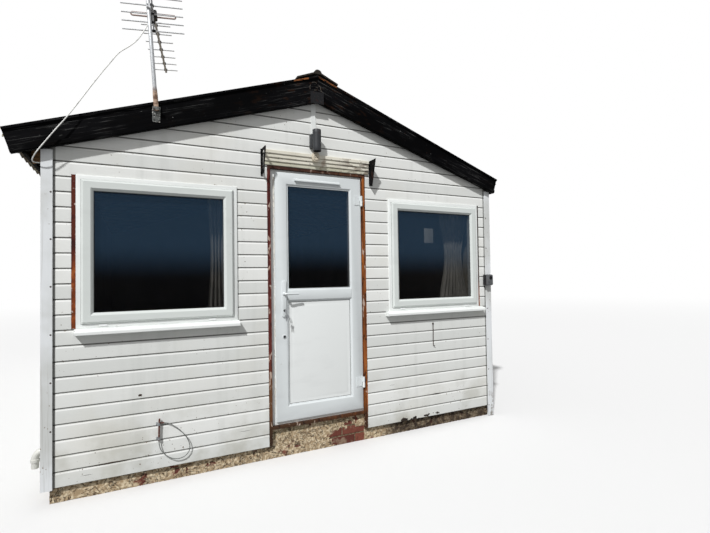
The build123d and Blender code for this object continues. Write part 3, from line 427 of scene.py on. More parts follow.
finishes = {
    "frontBoards": boardPaint("frontBoardPaint"),
    "sideBoards": boardPaint("sideBoardPaint", "Y"),
    "cornerBoard": cornerPaint("cornerPaint"),
    "plastic": whitePlastic("frameWhite", (234, 237, 235)),
    # the sashes' white is a darker copy of the frames' plastic: painted shade for their sloping faces
    "sashShadedPlastic": whitePlastic("sashShadedWhite"),
    "doorPlastic": whitePlastic("doorWhite", (216, 221, 222)),
    "doorField": whitePlastic("panelWhite", (232, 235, 234), 0.34),
    "brightPlastic": whitePlastic("capWhite", (246, 248, 248)),
    "pipePlastic": whitePlastic("pipeWhite", (206, 206, 200), 0.4),
    "stained": whitePlastic("stainedSocket", (206, 196, 176), 0.45),
    "glass": darkGlass("darkPane"),
    "doorGlass": darkGlass("doorPane", 1.42, 1.70),
    "wornTimber": sawnTimber("wornTimber", (142, 86, 42), (76, 44, 22)),
    "bareWood": sawnTimber("bareWood", (74, 62, 52), (30, 25, 22)),
    "timberX": sawnTimber("sawnTimber"),
    "timberY": sawnTimber("sawnPurlin", along="Y"),
    "floor": sawnTimber("floorBoard", (142, 104, 66), (98, 66, 40), "Y"),
    "greyPlate": paintedIron("greyPlate", (34, 34, 36), 0.15, 0.85, (84, 84, 82), 0.15),
    "hookIron": paintedIron("hookIron", (66, 54, 51), 0.3, 0.7, (112, 102, 96), 0.15),
    "clampIron": paintedIron("clampIron", (88, 90, 88), 0.75, 0.6, (226, 226, 220)),
    "cameraGrey": paintedIron("cameraGrey", (92, 94, 96), 0.05, 0.4),
    "iron": paintedIron("blackIron", (8, 8, 9), 0.2, 0.7, (70, 72, 72), 0.12),
    "housing": paintedIron("housingGrey", (52, 54, 57), 0.12, 0.38),
    "dark": paintedIron("darkPlastic", (30, 31, 33), 0.05, 0.35),
    "rusty": paintedIron("rustyIron", (84, 44, 34), 0.9, 0.6, (150, 120, 104)),
    "brick": brickFinish("plinthBrick"),
    "mortar": mortarFinish("limeMortar"),
    "bedding": mortarFinish("ridgeBedding", False),
    "masonry": masonryFinish("crumblingRender", True),
    "sideMasonry": masonryFinish("sideRender"),
    "curtain": clothFinish("paleCurtain"),
    "paper": clothFinish("blankPaper", (248, 248, 242), 400),
    "tarSlopes": tarredBoard("tarredSlopes", chalet["bargePitch"]),
    "tar": tarredBoard("tarredFascia", 0.0),
    "jamb": flakingTimber("flakingJamb"),
    "rustStrip": rustStrip("rustStrip"),
    "sheetLeft": cementSheet("sheetLeft", -chalet["pitch"]),
    "sheetRight": cementSheet("sheetRight", chalet["pitch"]),
    "ridge": cementSheet("ridgeCement", 0.0, 0.36),
    "lining": liningPaint("liningPaint"),
    "steel": galvanised("galvanisedSteel"),
    "mast": galvanised("mastSteel", (2.66, 2.73), 0.45, (206, 209, 212)),
    "rods": galvanised("drawnRod", metallic=0.3, pale=(206, 208, 210)),
    "lens": plainSheath("lensBlack", (9, 9, 11), 0.12),
    "dipole": plainSheath("dipoleTan", (176, 154, 146)),
    "whiteCable": plainSheath("whiteSheath", (240, 240, 236)),
    "greyCable": plainSheath("greySheath", (118, 120, 118)),
    # a grey for painted shade in the gap round the sashes
    "gapShadeGrey": plainSheath("gapShadeGrey", (108, 112, 110), 0.7),
    "oldTar": plainSheath("oldTar", (92, 84, 76), 0.8),
    "rubber": plainSheath("gasketRubber", (26, 26, 28), 0.6),
    "sealant": plainSheath("oldSealant", (226, 222, 212), 0.6),
    "mouldy": mouldyPaint("mouldyPaint"),
}
print("finishes ready:", len(finishes))

# shapes: everything is made in the object's frame, so no piece needs moving

frontward, upward = (0, -1, 0), (0, 0, 1)


def addPiece(name, data, material=None):
    piece = bpy.data.objects.new(name, data)
    bpy.context.scene.collection.objects.link(piece)
    if material:
        data.materials.append(material)
    return piece


def softEdges(piece, width):
    edge = piece.modifiers.new("softEdges", "BEVEL")
    edge.width, edge.segments, edge.limit_method = width, 2, "ANGLE"
    edge.angle_limit = math.radians(35)


def arc(x, z, radius, start, end, steps):  # points of an arc, its angles in degrees
    turns = [math.radians(start + (end - start) * i / steps) for i in range(steps + 1)]
    return [(x + radius * math.cos(a), z + radius * math.sin(a)) for a in turns]


def circle(centre, across, over, radius, sides):
    turns = [2 * math.pi * i / sides for i in range(sides)]
    return [centre + (across * math.cos(a) + over * math.sin(a)) * radius for a in turns]


def grown(box, by):            # a box x0, x1, z0, z1, larger all round
    return (box[0] - by, box[1] + by, box[2] - by, box[3] + by)


def roughness(x, y, z, scale, seed=0.0):  # smooth noise from about -1 to 1
    return noise.noise(Vector((x * scale + seed, y * scale - seed, z * scale + 0.7 * seed)))


def slopeHeight(x, above=0.0):
    return chalet["rafterPlane"] - abs(x) * math.tan(chalet["pitch"]) + above / math.cos(chalet["pitch"])


class Shape:                   # a mesh in the making
    def __init__(self):
        self.points, self.faces, self.tones = [], [], []

    def add(self, points, faces, tone=0.5):
        start = len(self.points)
        self.points += [tuple(point) for point in points]
        self.faces += [tuple(start + i for i in face) for face in faces]
        self.tones += [tone] * len(points)

    def box(self, low, high, tone=0.5):
        x, y, z = zip(low, high)
        self.add([(a, b, c) for a in x for b in y for c in z],
                 [(0, 1, 3, 2), (4, 6, 7, 5), (0, 4, 5, 1), (2, 3, 7, 6), (0, 2, 6, 4), (1, 5, 7, 3)], tone)

    def rings(self, rows, caps=True, tone=0.5):  # skin over a row of outlines
        count, faces = len(rows[0]), []
        for i in range(0, (len(rows) - 1) * count, count):
            for j in range(count):
                k = (j + 1) % count
                faces.append((i + j, i + k, i + count + k, i + count + j))
        if caps:
            faces += [range(count)[::-1], range((len(rows) - 1) * count, len(rows) * count)]
        self.add([point for row in rows for point in row], faces, tone)

    def prism(self, outline, low, high, axis="Y", tone=0.5):  # an outline pushed along an axis
        order = {"X": (2, 0, 1), "Y": (0, 2, 1), "Z": (0, 1, 2)}[axis]
        self.rings([[[(a, b, t)[k] for k in order] for a, b in outline] for t in (low, high)], tone=tone)

    def tube(self, points, radius, sides=12):
        points = [Vector(point) for point in points]
        radii = radius if isinstance(radius, list) else [radius] * len(points)
        rows, across = [], None
        for i, point in enumerate(points):
            ahead = (points[min(i + 1, len(points) - 1)] - points[max(i - 1, 0)]).normalized()
            across = across or ahead.orthogonal().normalized()
            across = (across - ahead * across.dot(ahead)).normalized()
            rows.append(circle(point, across, ahead.cross(across), radii[i], sides))
        self.rings(rows)

    def lathe(self, profile, centre, axis=upward, sides=32, tone=0.5):  # (radius, distance) pairs
        centre, axis = Vector(centre), Vector(axis).normalized()
        across = axis.orthogonal().normalized()
        self.rings([circle(centre + axis * distance, across, axis.cross(across), max(radius, 1e-5), sides)
                    for radius, distance in profile], tone=tone)

    def head(self, place, sides, *profile, axis=frontward):  # of a screw or nail, closed over its top
        self.lathe([*profile, (0.0001, profile[-1][1])], place, axis, sides)

    def mitred(self, box, widths, profile):
        # a frame about the box x0, x1, z0, z1: profile points are (share of the width, offset, y)
        x0, x1, z0, z1 = box
        left, right, bottom, top = widths if isinstance(widths, tuple) else (widths,) * 4
        rows = []
        for share, offset, y in profile:
            a, b = x0 + share * left + offset, x1 - share * right - offset
            c, d = z0 + share * bottom + offset, z1 - share * top - offset
            rows.append([(a, y, c), (b, y, c), (b, y, d), (a, y, d)])
        self.rings(rows + [rows[0]], caps=False)

    def layers(self, box, radius, *layers):  # rounded outlines: (inset, y) pairs
        x0, x1, z0, z1 = box
        corners = ((x1 - radius, z1 - radius, 0), (x0 + radius, z1 - radius, 90),
                   (x0 + radius, z0 + radius, 180), (x1 - radius, z0 + radius, 270))
        self.rings([[(a, y, b) for x, z, start in corners
                     for a, b in arc(x, z, radius - inset, start, start + 90, 4)] for inset, y in layers])

    def plate(self, box, front, back, radius, soft=0.002):  # round corners, a soft front edge
        turn = soft * 0.3
        self.layers(box, radius, (0, back), (0, front + soft), (turn, front + turn), (soft, front))

    def scraps(self, place, width, height, step, keep, lift, seed):
        # ragged flakes of a thin coat: keep(u, v) says where the coat is left
        across, up = max(1, round(width / step)), max(1, round(height / step))
        rng = random.Random(seed)
        jitter = {(i, j): (rng.uniform(-0.4, 0.4), rng.uniform(-0.4, 0.4))
                  for i in range(across + 1) for j in range(up + 1)}
        kept = {(i, j) for i in range(across) for j in range(up)
                if keep((i + 0.5) * width / across, (j + 0.5) * height / up)}
        number, points, faces = {}, [], []

        def corner(spot, top):
            if (spot, top) not in number:
                u, v = ((spot[k] + jitter[spot][k]) * size / count
                        for k, (size, count) in enumerate(((width, across), (height, up))))
                number[spot, top] = len(points)
                points.append(place(min(max(u, 0), width), min(max(v, 0), height), lift if top else 0))
            return number[spot, top]

        for i, j in sorted(kept):
            loop = [(i, j), (i + 1, j), (i + 1, j + 1), (i, j + 1)]
            faces.append([corner(spot, True) for spot in loop])
            faces.append([corner(spot, False) for spot in reversed(loop)])
            for side, beside in enumerate([(i, j - 1), (i + 1, j), (i, j + 1), (i - 1, j)]):
                if beside not in kept:
                    a, b = loop[side], loop[(side + 1) % 4]
                    faces.append([corner(a, False), corner(b, False), corner(b, True), corner(a, True)])
        self.add(points, faces)

    def make(self, name, finish, slot, node=None, body="chalet", smooth=None, bevel=None):
        mesh = bpy.data.meshes.new(name)
        mesh.from_pydata(self.points, [], self.faces)
        mesh.validate()
        mesh.attributes.new("tone", "FLOAT", "POINT").data.foreach_set("value", self.tones)
        work = bmesh.new()
        work.from_mesh(mesh)
        bmesh.ops.recalc_face_normals(work, faces=work.faces)
        work.to_mesh(mesh)
        work.free()
        piece = addPiece(name, mesh, finishes[finish])
        if bevel:
            softEdges(piece, bevel)
        if smooth:
            mesh.shade_smooth()
            mesh.set_sharp_from_angle(angle=math.radians(smooth))
        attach(piece, body)
        if node:
            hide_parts(node)
        return piece


# camera: the photograph's own place and direction

view = {"place": (-1.318, -3.365, 1.396), "yaw": math.radians(26.686), "pitch": math.radians(1.317),
        "roll": math.radians(-0.842), "sensor": 36.0, "focalShare": 435.12 / 710}
ahead = Vector((math.sin(view["yaw"]) * math.cos(view["pitch"]),
                math.cos(view["yaw"]) * math.cos(view["pitch"]), math.sin(view["pitch"])))
right = Vector((math.cos(view["yaw"]), -math.sin(view["yaw"]), 0))
above = right.cross(ahead)
turnedRight = right * math.cos(view["roll"]) + above * math.sin(view["roll"])
turnedUp = above * math.cos(view["roll"]) - right * math.sin(view["roll"])
lens = bpy.data.cameras.new("camera")
lens.sensor_width = view["sensor"]
lens.lens = view["focalShare"] * view["sensor"]
camera = addPiece("camera", lens)
axes = Matrix((turnedRight, turnedUp, -ahead)).transposed()
camera.matrix_world = Matrix.Translation(view["place"]) @ axes.to_4x4()
bpy.context.scene.camera = camera
bpy.context.scene.view_settings.view_transform = "Standard"


# cords: the aerial's lead and the cable looped on its hook

cords = {
    "aerialLead": {
        "finish": "whiteCable", "slot": "white_cable", "node": "aerial_cable",
        "radius": 0.0035, "length": 1.398,
        "route": [(-1.240, -0.056, 3.207), (-1.241, -0.062, 3.178), (-1.243, -0.088, 3.150),
                  (-1.248, -0.128, 3.122), (-1.266, -0.158, 3.072), (-1.302, -0.168, 2.996),
                  (-1.355, -0.166, 2.938), (-1.417, -0.160, 2.889), (-1.462, -0.156, 2.818),
                  (-1.510, -0.156, 2.744), (-1.556, -0.156, 2.668), (-1.602, -0.156, 2.590),
                  (-1.654, -0.157, 2.500), (-1.706, -0.158, 2.414), (-1.764, -0.158, 2.330),
                  (-1.815, -0.156, 2.252), (-1.862, -0.142, 2.186), (-1.888, -0.112, 2.148),
                  (-1.892, -0.078, 2.138), (-1.880, -0.054, 2.140), (-1.866, -0.043, 2.142),
                  (-1.850, -0.043, 2.142)]},
    "loopedCable": {
        "finish": "greyCable", "slot": "grey_cable", "node": "cable_loop",
        "radius": 0.003, "length": 0.613,
        "route": [(-1.184, -0.086, 0.2957), (-1.183, -0.087, 0.270), (-1.170, -0.088, 0.226),
                  (-1.134, -0.088, 0.182), (-1.078, -0.088, 0.150), (-1.012, -0.088, 0.160),
                  (-0.980, -0.088, 0.212), (-1.000, -0.088, 0.284), (-1.050, -0.088, 0.350),
                  (-1.104, -0.086, 0.396), (-1.142, -0.080, 0.413), (-1.1752, -0.080, 0.413)]},
}
for name, cord in cords.items():
    curve = bpy.data.curves.new(name, "CURVE")
    curve.dimensions = "3D"
    curve.bevel_depth, curve.bevel_resolution, curve.resolution_u = cord["radius"], 4, 10
    curve.use_fill_caps = True
    spline = curve.splines.new("NURBS")
    spline.points.add(len(cord["route"]) - 1)
    for point, place in zip(spline.points, cord["route"]):
        point.co = (*place, 1.0)
    spline.order_u = 3
    spline.use_endpoint_u = True
    piece = addPiece(name, curve, finishes[cord["finish"]])
    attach(piece, "chalet")
    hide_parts(cord["node"])
    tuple(cord["route"][0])
print("camera and cords ready")


# light and floor

studio = {"sun": 3.35, "sunAngle": 2.2, "sunTravel": (0.50, 0.50, -0.707), "sky": 0.42,
          "floorSeen": 0.80, "floorBounce": 0.26, "floorReach": 30.0, "white": (1, 1, 1, 1)}
sun = bpy.data.lights.new("sun", "SUN")
sun.energy, sun.angle = studio["sun"], math.radians(studio["sunAngle"])
sunPiece = addPiece("sun", sun)
sunPiece.rotation_euler = Vector(studio["sunTravel"]).to_track_quat("-Z", "Y").to_euler()

world = bpy.data.worlds.new("studioWorld")
bpy.context.scene.world = world
world.use_nodes = True
worldNodes = world.node_tree.nodes
sky, seen = worldNodes["Background"], worldNodes.new("ShaderNodeBackground")
for node, strength in ((sky, studio["sky"]), (seen, 1.0)):
    node.inputs["Color"].default_value = studio["white"]
    node.inputs["Strength"].default_value = strength
rays, either = worldNodes.new("ShaderNodeLightPath"), worldNodes.new("ShaderNodeMath")
either.operation = "MAXIMUM"
blend = worldNodes.new("ShaderNodeMixShader")
for output, socket in ((rays.outputs["Is Camera Ray"], either.inputs[0]),
                       (rays.outputs["Is Transmission Ray"], either.inputs[1]),
                       (either.outputs[0], blend.inputs["Fac"]),
                       (sky.outputs[0], blend.inputs[1]), (seen.outputs[0], blend.inputs[2]),
                       (blend.outputs[0], worldNodes["World Output"].inputs["Surface"])):
    world.node_tree.links.new(output, socket)


def studioFloor():
    reach = studio["floorReach"]
    f = Finish("paleFloor", Roughness=0.9, Specular_IOR_Level=0.1)
    camera = f.add("ShaderNodeLightPath", out="Is Camera Ray")
    f.start(camera, *((studio[key],) * 3 + (1.0,) for key in ("floorBounce", "floorSeen")))
    f.finish(0.88 + f.noise(6, 2) * 0.06)
    far = f.add("ShaderNodeVectorMath", {"operation": "LENGTH"}, {0: f.place}, "Value")
    glow = f.add("ShaderNodeEmission", None, {"Color": studio["white"], "Strength": 1.0})
    share = f.step(far, reach * 0.3, reach * 0.95) * camera
    mixed = f.add("ShaderNodeMixShader", None, {0: share, 1: Wire(f, f.shader.outputs[0]), 2: glow})
    f.link(mixed, f.tree.nodes["Material Output"].inputs["Surface"])
    mesh = bpy.data.meshes.new("floorDisc")
    mesh.from_pydata([(-reach, -reach, 0), (reach, -reach, 0), (reach, reach, 0), (-reach, reach, 0)], [],
                     [(0, 1, 2, 3)])
    addPiece("studioFloor", mesh, f.material)


studioFloor()
print("light and floor ready")


# boarding: each board by itself, with its hollow, its wave and its nails

boarding = {
    "cove": 0.022, "coveDepth": 0.008, "thickness": 0.020, "lip": 0.0022, "step": 0.30, "wave": 0.0011,
    "nailRadius": 0.0032, "nailTop": 0.0011, "nailEdge": 0.01, "studSpacing": 0.60, "jointGap": 0.0012,
    "front": 0.050, "rear": 5.910, "side": 1.818, "endFront": -0.050,
}


def boardProfile(low, high, row):  # (outwards, height) points of one board between two heights
    out, cove, depth = boarding["thickness"], boarding["cove"], boarding["coveDepth"]
    foot = chalet["boardFoot"] + row * chalet["boardCover"]
    turnAt = foot + chalet["boardCover"] - cove
    whole = [(out - 0.0016, foot), (out, foot + boarding["lip"]), (out, turnAt)]
    for i in range(1, 5):      # the hollow rises in a quarter curve
        turn = math.radians(90 * i / 4)
        whole.append((out - depth * (1 - math.cos(turn)), turnAt + (cove - 0.003) * math.sin(turn)))
    whole.append((out - depth - 0.003, turnAt + cove - 0.0015))

    def depthAt(z):
        for (a, za), (c, zc) in zip(whole, whole[1:]):
            if za <= z <= zc:
                return a + (c - a) * (z - za) / (zc - za)
        return whole[0][0] if z < whole[0][1] else whole[-1][0]
    return [(depthAt(low), low)] + [(y, z) for y, z in whole if low < z < high] + [(depthAt(high), high)]


def addBoard(shape, place, low, high, row, start, end, seed, tone):
    # start and end are functions of height, so a board can be cut to a slope
    points = boardProfile(low, high, row)
    longest = max(end(z) - start(z) for _, z in points)
    if longest < 0.012:
        return
    count, wave = max(1, round(longest / boarding["step"])), boarding["wave"]
    rows = []
    for i in range(count + 1):
        ring = []
        for out, z in [(0.0, low)] + points + [(0.0, high)]:
            first = start(z)
            t = first + (max(end(z), first + 0.001) - first) * i / count
            bend = rise = 0
            if out > 0.005:    # the board's back stays flat
                bend = wave * roughness(t, seed * 3.1, 0, 1.3, seed)
                bend += 0.5 * wave * roughness(t, seed, 2, 5.0, seed)
                rise = 0.0007 * roughness(t, 7.7, seed, 1.1, seed) if z < high - 0.001 else 0
            ring.append(place(t, out + bend, z + rise))
        rows.append(ring)
    shape.rings(rows, tone=tone)


def boardWall(name, finish, node, place, spans, top, gaps, seed, joints=0.0):
    # spans(z) gives the ends of the wall at a height; gaps are openings as x0, x1, z0, z1
    cover, edge, nail = chalet["boardCover"], boarding["nailEdge"], boarding["nailRadius"]
    rng = random.Random(seed)
    boards, nails = Shape(), Shape()
    row, low = 0, chalet["boardFoot"]
    while low < top - 0.004:
        high = min(low + cover, top)
        tone = rng.random()
        cuts = sorted({low, high} | {z for gap in gaps for z in gap[2:] if low < z < high})
        jointAt = None
        first, last = spans(low)
        if rng.random() < joints:
            jointAt = first + (last - first) * rng.choice((0.3, 0.4, 0.6, 0.7))
        for z0, z1 in zip(cuts, cuts[1:]):
            across = sorted(g[:2] for g in gaps if g[2] < (z0 + z1) / 2 < g[3])
            edges = [None] + [value for g in across for value in g] + [None]
            for first, last in zip(edges[::2], edges[1::2]):
                start = (lambda z, v=first: spans(z)[0] if v is None else v)
                end = (lambda z, v=last: spans(z)[1] if v is None else v)
                parts = [(start, end)]
                if jointAt and start(z0) + 0.3 < jointAt < end(z0) - 0.3:
                    gap = boarding["jointGap"]
                    parts = [(start, lambda z: jointAt - gap), (lambda z: jointAt + gap, end)]
                for k, (one, two) in enumerate(parts):
                    shade = min(max(tone + 0.25 * k * (rng.random() - 0.5), 0), 1)
                    addBoard(boards, place, z0, z1, row, one, two, seed + row * 1.7 + k, shade)
        left, rightEnd = spans(low + cover)
        studs = int((rightEnd - left) / boarding["studSpacing"])
        for i in range(studs + 1):
            t = left + 0.045 + i * (rightEnd - left - 0.09) / max(studs, 1) + rng.uniform(-0.004, 0.004)
            z = low + 0.020 + rng.uniform(-0.003, 0.003)
            near = (grown(gap, edge) for gap in gaps)
            if z > high - edge or any(x0 < t < x1 and z0 < z < z1 for x0, x1, z0, z1 in near):
                continue
            centre = Vector(place(t, boarding["thickness"], z))
            outward = Vector(place(t, boarding["thickness"] + 1, z)) - centre
            nails.lathe([(0.0001, -0.001), (nail, -0.001), (nail, 0.0003), (nail * 0.7, boarding["nailTop"]),
                         (0.0001, boarding["nailTop"])], centre, outward, 7, tone=0.2)
        row += 1
        low = chalet["boardFoot"] + row * cover
    boards.make(name, finish, "white_boards", node, smooth=28)
    nails.make(name + "Nails", finish, "white_boards", smooth=40)


windows = {
    "left": {"centre": -1.155, "horn": 0.008, "drains": (-1.513, -0.828), "stripFront": -0.072},
    "right": {"centre": 1.180, "horn": 0.038, "drains": (0.802, 1.534), "stripFront": -0.066},
}
windowSize = {"width": 1.020, "height": 0.992, "bottom": 1.087, "sillHeight": 0.040, "frameFace": 0.055,
              "frameFront": -0.080, "frameBack": -0.010, "sashProud": 0.018, "sashLap": 0.026,
              "sashFace": 0.045, "sashBack": -0.040, "stripWidth": 0.025, "stripBack": -0.050}
doorway = {"left": -0.414, "right": 0.443, "top": 2.271, "bottom": 0.228, "side": 0.027, "head": 0.024,
           "sill": 0.024, "front": -0.072, "back": 0.050, "legFoot": 0.105, "legBack": -0.040}


def windowBox(side):
    centre, half, z0 = windows[side]["centre"], windowSize["width"] / 2, windowSize["bottom"]
    return (centre - half, centre + half, z0, z0 + windowSize["height"])


def onceFor(side, node):       # one node holds both sides, so the left piece replaces it
    return node if side == "left" else None


def makeBoarding():
    gaps = []
    for side in windows:
        x0, x1, z0, z1 = windowBox(side)
        strip = windowSize["stripWidth"]
        gaps.append((x0 - (strip if side == "left" else 0), x1 + (strip if side == "right" else 0), z0, z1))
        gaps.append((x0, x1, z0 - windowSize["sillHeight"], z0))
    gaps.append((doorway["left"], doorway["right"], 0.0, doorway["top"]))
    outside = boarding["side"] + boarding["thickness"]
    top = slopeHeight(0, 0.090)

    def gableSpan(z):
        half = min(outside, (top - 0.001 - z) / math.tan(chalet["pitch"]))
        return (-half, half)
    boardWall("frontBoards", "frontBoards", "front_cladding",
              lambda t, out, z: (t, -boarding["front"] - out, z), gableSpan, top, gaps, 3)
    boardWall("rearBoards", "frontBoards", "back_cladding",
              lambda t, out, z: (t, boarding["rear"] + out, z), gableSpan, top, [], 19, 0.5)
    for name, hand in (("left", -1), ("right", 1)):
        boardWall(name + "Boards", "sideBoards", name + "_cladding",
                  lambda t, out, z, hand=hand: (hand * (boarding["side"] + out), t, z),
                  lambda z: (boarding["endFront"], boarding["rear"]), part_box("left_cladding")[1][2], [],
                  41 + hand, 0.8)


def makeCornerNails():
    c = {"x": 1.797, "first": 0.46, "spacing": 0.2995, "count": 7, "waver": 0.004}
    nails = Shape()
    for x in (-c["x"], c["x"]):
        for i in range(c["count"]):
            z = c["first"] + c["spacing"] * i + c["waver"] * roughness(x, i, 0, 3.1)
            nails.head((x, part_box("corner_boards")[0][1], z), 9, (0.0055, -0.001), (0.0055, 0.0006),
                       (0.0038, 0.0011))
    nails.make("cornerNails", "hookIron", "white_boards", smooth=40)


damages = {
    # splits and lifted laps: left end, height, length, width
    "splits": ((-1.620, 0.2015, 0.30, 0.0034), (-1.640, 0.150, 0.07, 0.0010), (0.744, 0.302, 0.13, 0.0036),
               (1.080, 0.301, 0.17, 0.0036), (-0.640, 0.258, 0.09, 0.0009), (0.640, 0.438, 0.10, 0.0008)),
    "chipped": (0.770, 0.106, 0.46, 0.034),  # left, bottom, width, height of the worn lower edge
    "knot": (-1.312, 0.606, 0.030, 0.022),
}


def makeBoardDamage():
    damage, face, steps = Shape(), chalet["wall"], 9
    for x, z, length, wide in damages["splits"]:
        spots = [(x + length * i / steps, math.sin(math.pi * i / steps) ** 2) for i in range(steps + 1)]
        damage.tube([(t, face + 0.0002, z + 0.0022 * roughness(t, z, 0, 14, 3)) for t, _ in spots],
                    [0.0003 + wide * swell for _, swell in spots], 6)

    def chipped(u, v):
        lump = roughness(u, v * 2, 0.3, 15, 12) + 0.4 * roughness(u, v, 1.3, 60, 5)
        return v < 0.020 + 0.02 * lump and lump > (-0.05 if u < 0.2 else 0.22)

    def inKnot(u, v):
        return math.hypot(u - 0.015, (v - 0.011) * 1.4) < 0.011
    for key, step, keep, lift, seed in (("chipped", 0.0045, chipped, 0.0009, 61),
                                        ("knot", 0.0035, inKnot, 0.0008, 62)):
        x, z, width, height = damages[key]
        damage.scraps(lambda u, v, up: (x + u, face + 0.0006 - up, z + v), width, height, step, keep, lift,
                      seed)
    damage.make("boardDamage", "bareWood", "white_boards", smooth=50)


makeBoarding()
makeCornerNails()
makeBoardDamage()
print("boarding ready")


# windows: mitred plastic frames, outer sashes, glazing beads, sills with end caps

def frameProfile(front, back, soft=0.003, slant=0.3):
    return [(0, 0, back), (0, 0, front + soft), (0, soft * slant, front + soft * slant), (0, soft, front),
            (1, -soft, front), (1, -soft * slant, front + soft * slant), (1, 0, front + soft), (1, 0, back)]


def sashProfile(front, seat, back, lap, rebate):
    # outer nib over the frame, a bright sloping face, a flat and a sloping bead down to the glass
    return [(0, lap, seat), (0, 0, seat), (0, 0, front + 0.011), (0, 0.0015, front + 0.009),
            (0, 0.0105, front + 0.0015), (0, 0.013, front), (1, -0.0175, front), (1, -0.016, front + 0.001),
            (1, -0.0025, front + 0.014), (1, -0.001, front + 0.016), (1, 0, front + rebate), (1, 0, back),
            (0, lap, back)]


def makeWindow(side):
    w, outer = windowSize, windowBox(side)
    face, lap, seat = w["frameFace"], w["sashLap"], w["frameFront"]
    front, width = seat - w["sashProud"], w["sashFace"] + lap
    box = grown(outer, lap - face)
    frame, caps, sash, rubber, gapShade = (Shape() for _ in range(5))
    for x in windows[side]["drains"]:  # drainage caps on the bottom rail
        caps.box((x - 0.023, seat - 0.006, outer[2] + 0.011), (x + 0.023, seat + 0.002, outer[2] + 0.021))
    frame.mitred(outer, face, frameProfile(seat, w["frameBack"]))
    sash.mitred(box, width, sashProfile(front, seat - 0.0004, w["sashBack"], lap, 0.020))
    rubber.mitred(grown(box, 0.0035 - width), 0.006, [(0, 0, front + 0.0165), (1, 0, front + 0.0178),
                                                      (1, 0, front + 0.0199), (0, 0, front + 0.0199)])
    proud = seat - 0.0006      # painted shade: a grey strip in the gap where the sash closes on the frame
    gapShade.mitred(grown(box, 0.0022), 0.003, [(0, 0, proud), (1, 0, proud), (1, 0, proud + 0.002),
                                            (0, 0, proud + 0.002)])
    caps.make(side + "DrainCaps", "brightPlastic", "white_plastic", bevel=0.0015)
    frame.make(side + "WindowFrame", "plastic", "white_plastic", side + "_window_frame", smooth=30,
               bevel=0.001)
    sash.make(side + "WindowSash", "sashShadedPlastic", "white_plastic", side + "_window_sash", smooth=30)
    rubber.make(side + "WindowGasket", "rubber", "white_plastic")
    gapShade.make(side + "WindowGapShade", "gapShadeGrey", "white_plastic")


sillShape = {"nose": -0.130, "step": 0.030, "back": -0.010, "cap": 0.0025, "shelf": -0.070}


def makeSill(side):
    s, horn, front = sillShape, windows[side]["horn"], windowSize["frameFront"] - 0.006
    x0, x1, top, _ = windowBox(side)
    bottom, nose, shelf, cap = top - windowSize["sillHeight"], s["nose"], s["shelf"], s["cap"]
    slope = [(front, top - 0.001), (nose + s["step"], top - 0.005), (nose + s["step"] - 0.002, top - 0.011),
             (nose + 0.008, top - 0.013), (nose + 0.003, top - 0.016), (nose, top - 0.021),
             (nose, bottom + 0.003), (nose + 0.003, bottom), (nose + 0.012, bottom),
             (nose + 0.012, bottom + 0.010)]
    whole = [(s["back"], bottom), (s["back"], top), (windowSize["frameFront"], top), *slope,
             (shelf, bottom + 0.010), (shelf, bottom)]
    sill = Shape()
    sill.prism(whole, x0, x1, "X")
    ears = [(shelf - 0.0005, top - 0.0015), (windowSize["frameFront"], top), *slope,
            (shelf - 0.0005, bottom + 0.010)]
    for a, b in ((x0 - horn + cap * 0.8, x0), (x1, x1 + horn - cap * 0.8)):
        sill.prism(ears, a, b, "X")
    capEnd = [(shelf - 0.0006, bottom), (shelf - 0.0006, top - 0.001), (front, top - 0.0005),
              (nose + s["step"], top - 0.005), (nose + 0.004, top - 0.0125), (nose, top - 0.019),
              (nose, bottom)]
    for x in (x0 - horn, x1 + horn - cap):
        sill.prism(capEnd, x, x + cap, "X")
    sill.make(side + "WindowSill", "plastic", "white_plastic", onceFor(side, "window_sills"), smooth=30)


for side in windows:
    makeWindow(side)
    makeSill(side)
print("windows ready")


# door: a mitred white leaf with beads round the glass and the panel

door = {
    "left": -0.350, "right": 0.404, "bottom": 0.276, "top": 2.228,
    "front": -0.0613, "back": 0.0087, "flangeBack": -0.0453, "reach": 0.017,
    "stile": 0.104, "topRail": 0.102, "bottomRail": 0.121, "middleRail": 0.097, "middleBottom": 1.207,
    "glassFront": -0.0483, "panelFront": -0.0453, "panelThick": 0.028, "panelBorder": 0.040,
    "frameFace": -0.045, "frameBack": 0.015, "frameLap": 0.012, "hingeAxis": (0.404, -0.0753),
}
doorParts = {"body": "door", "slot": "white_plastic"}


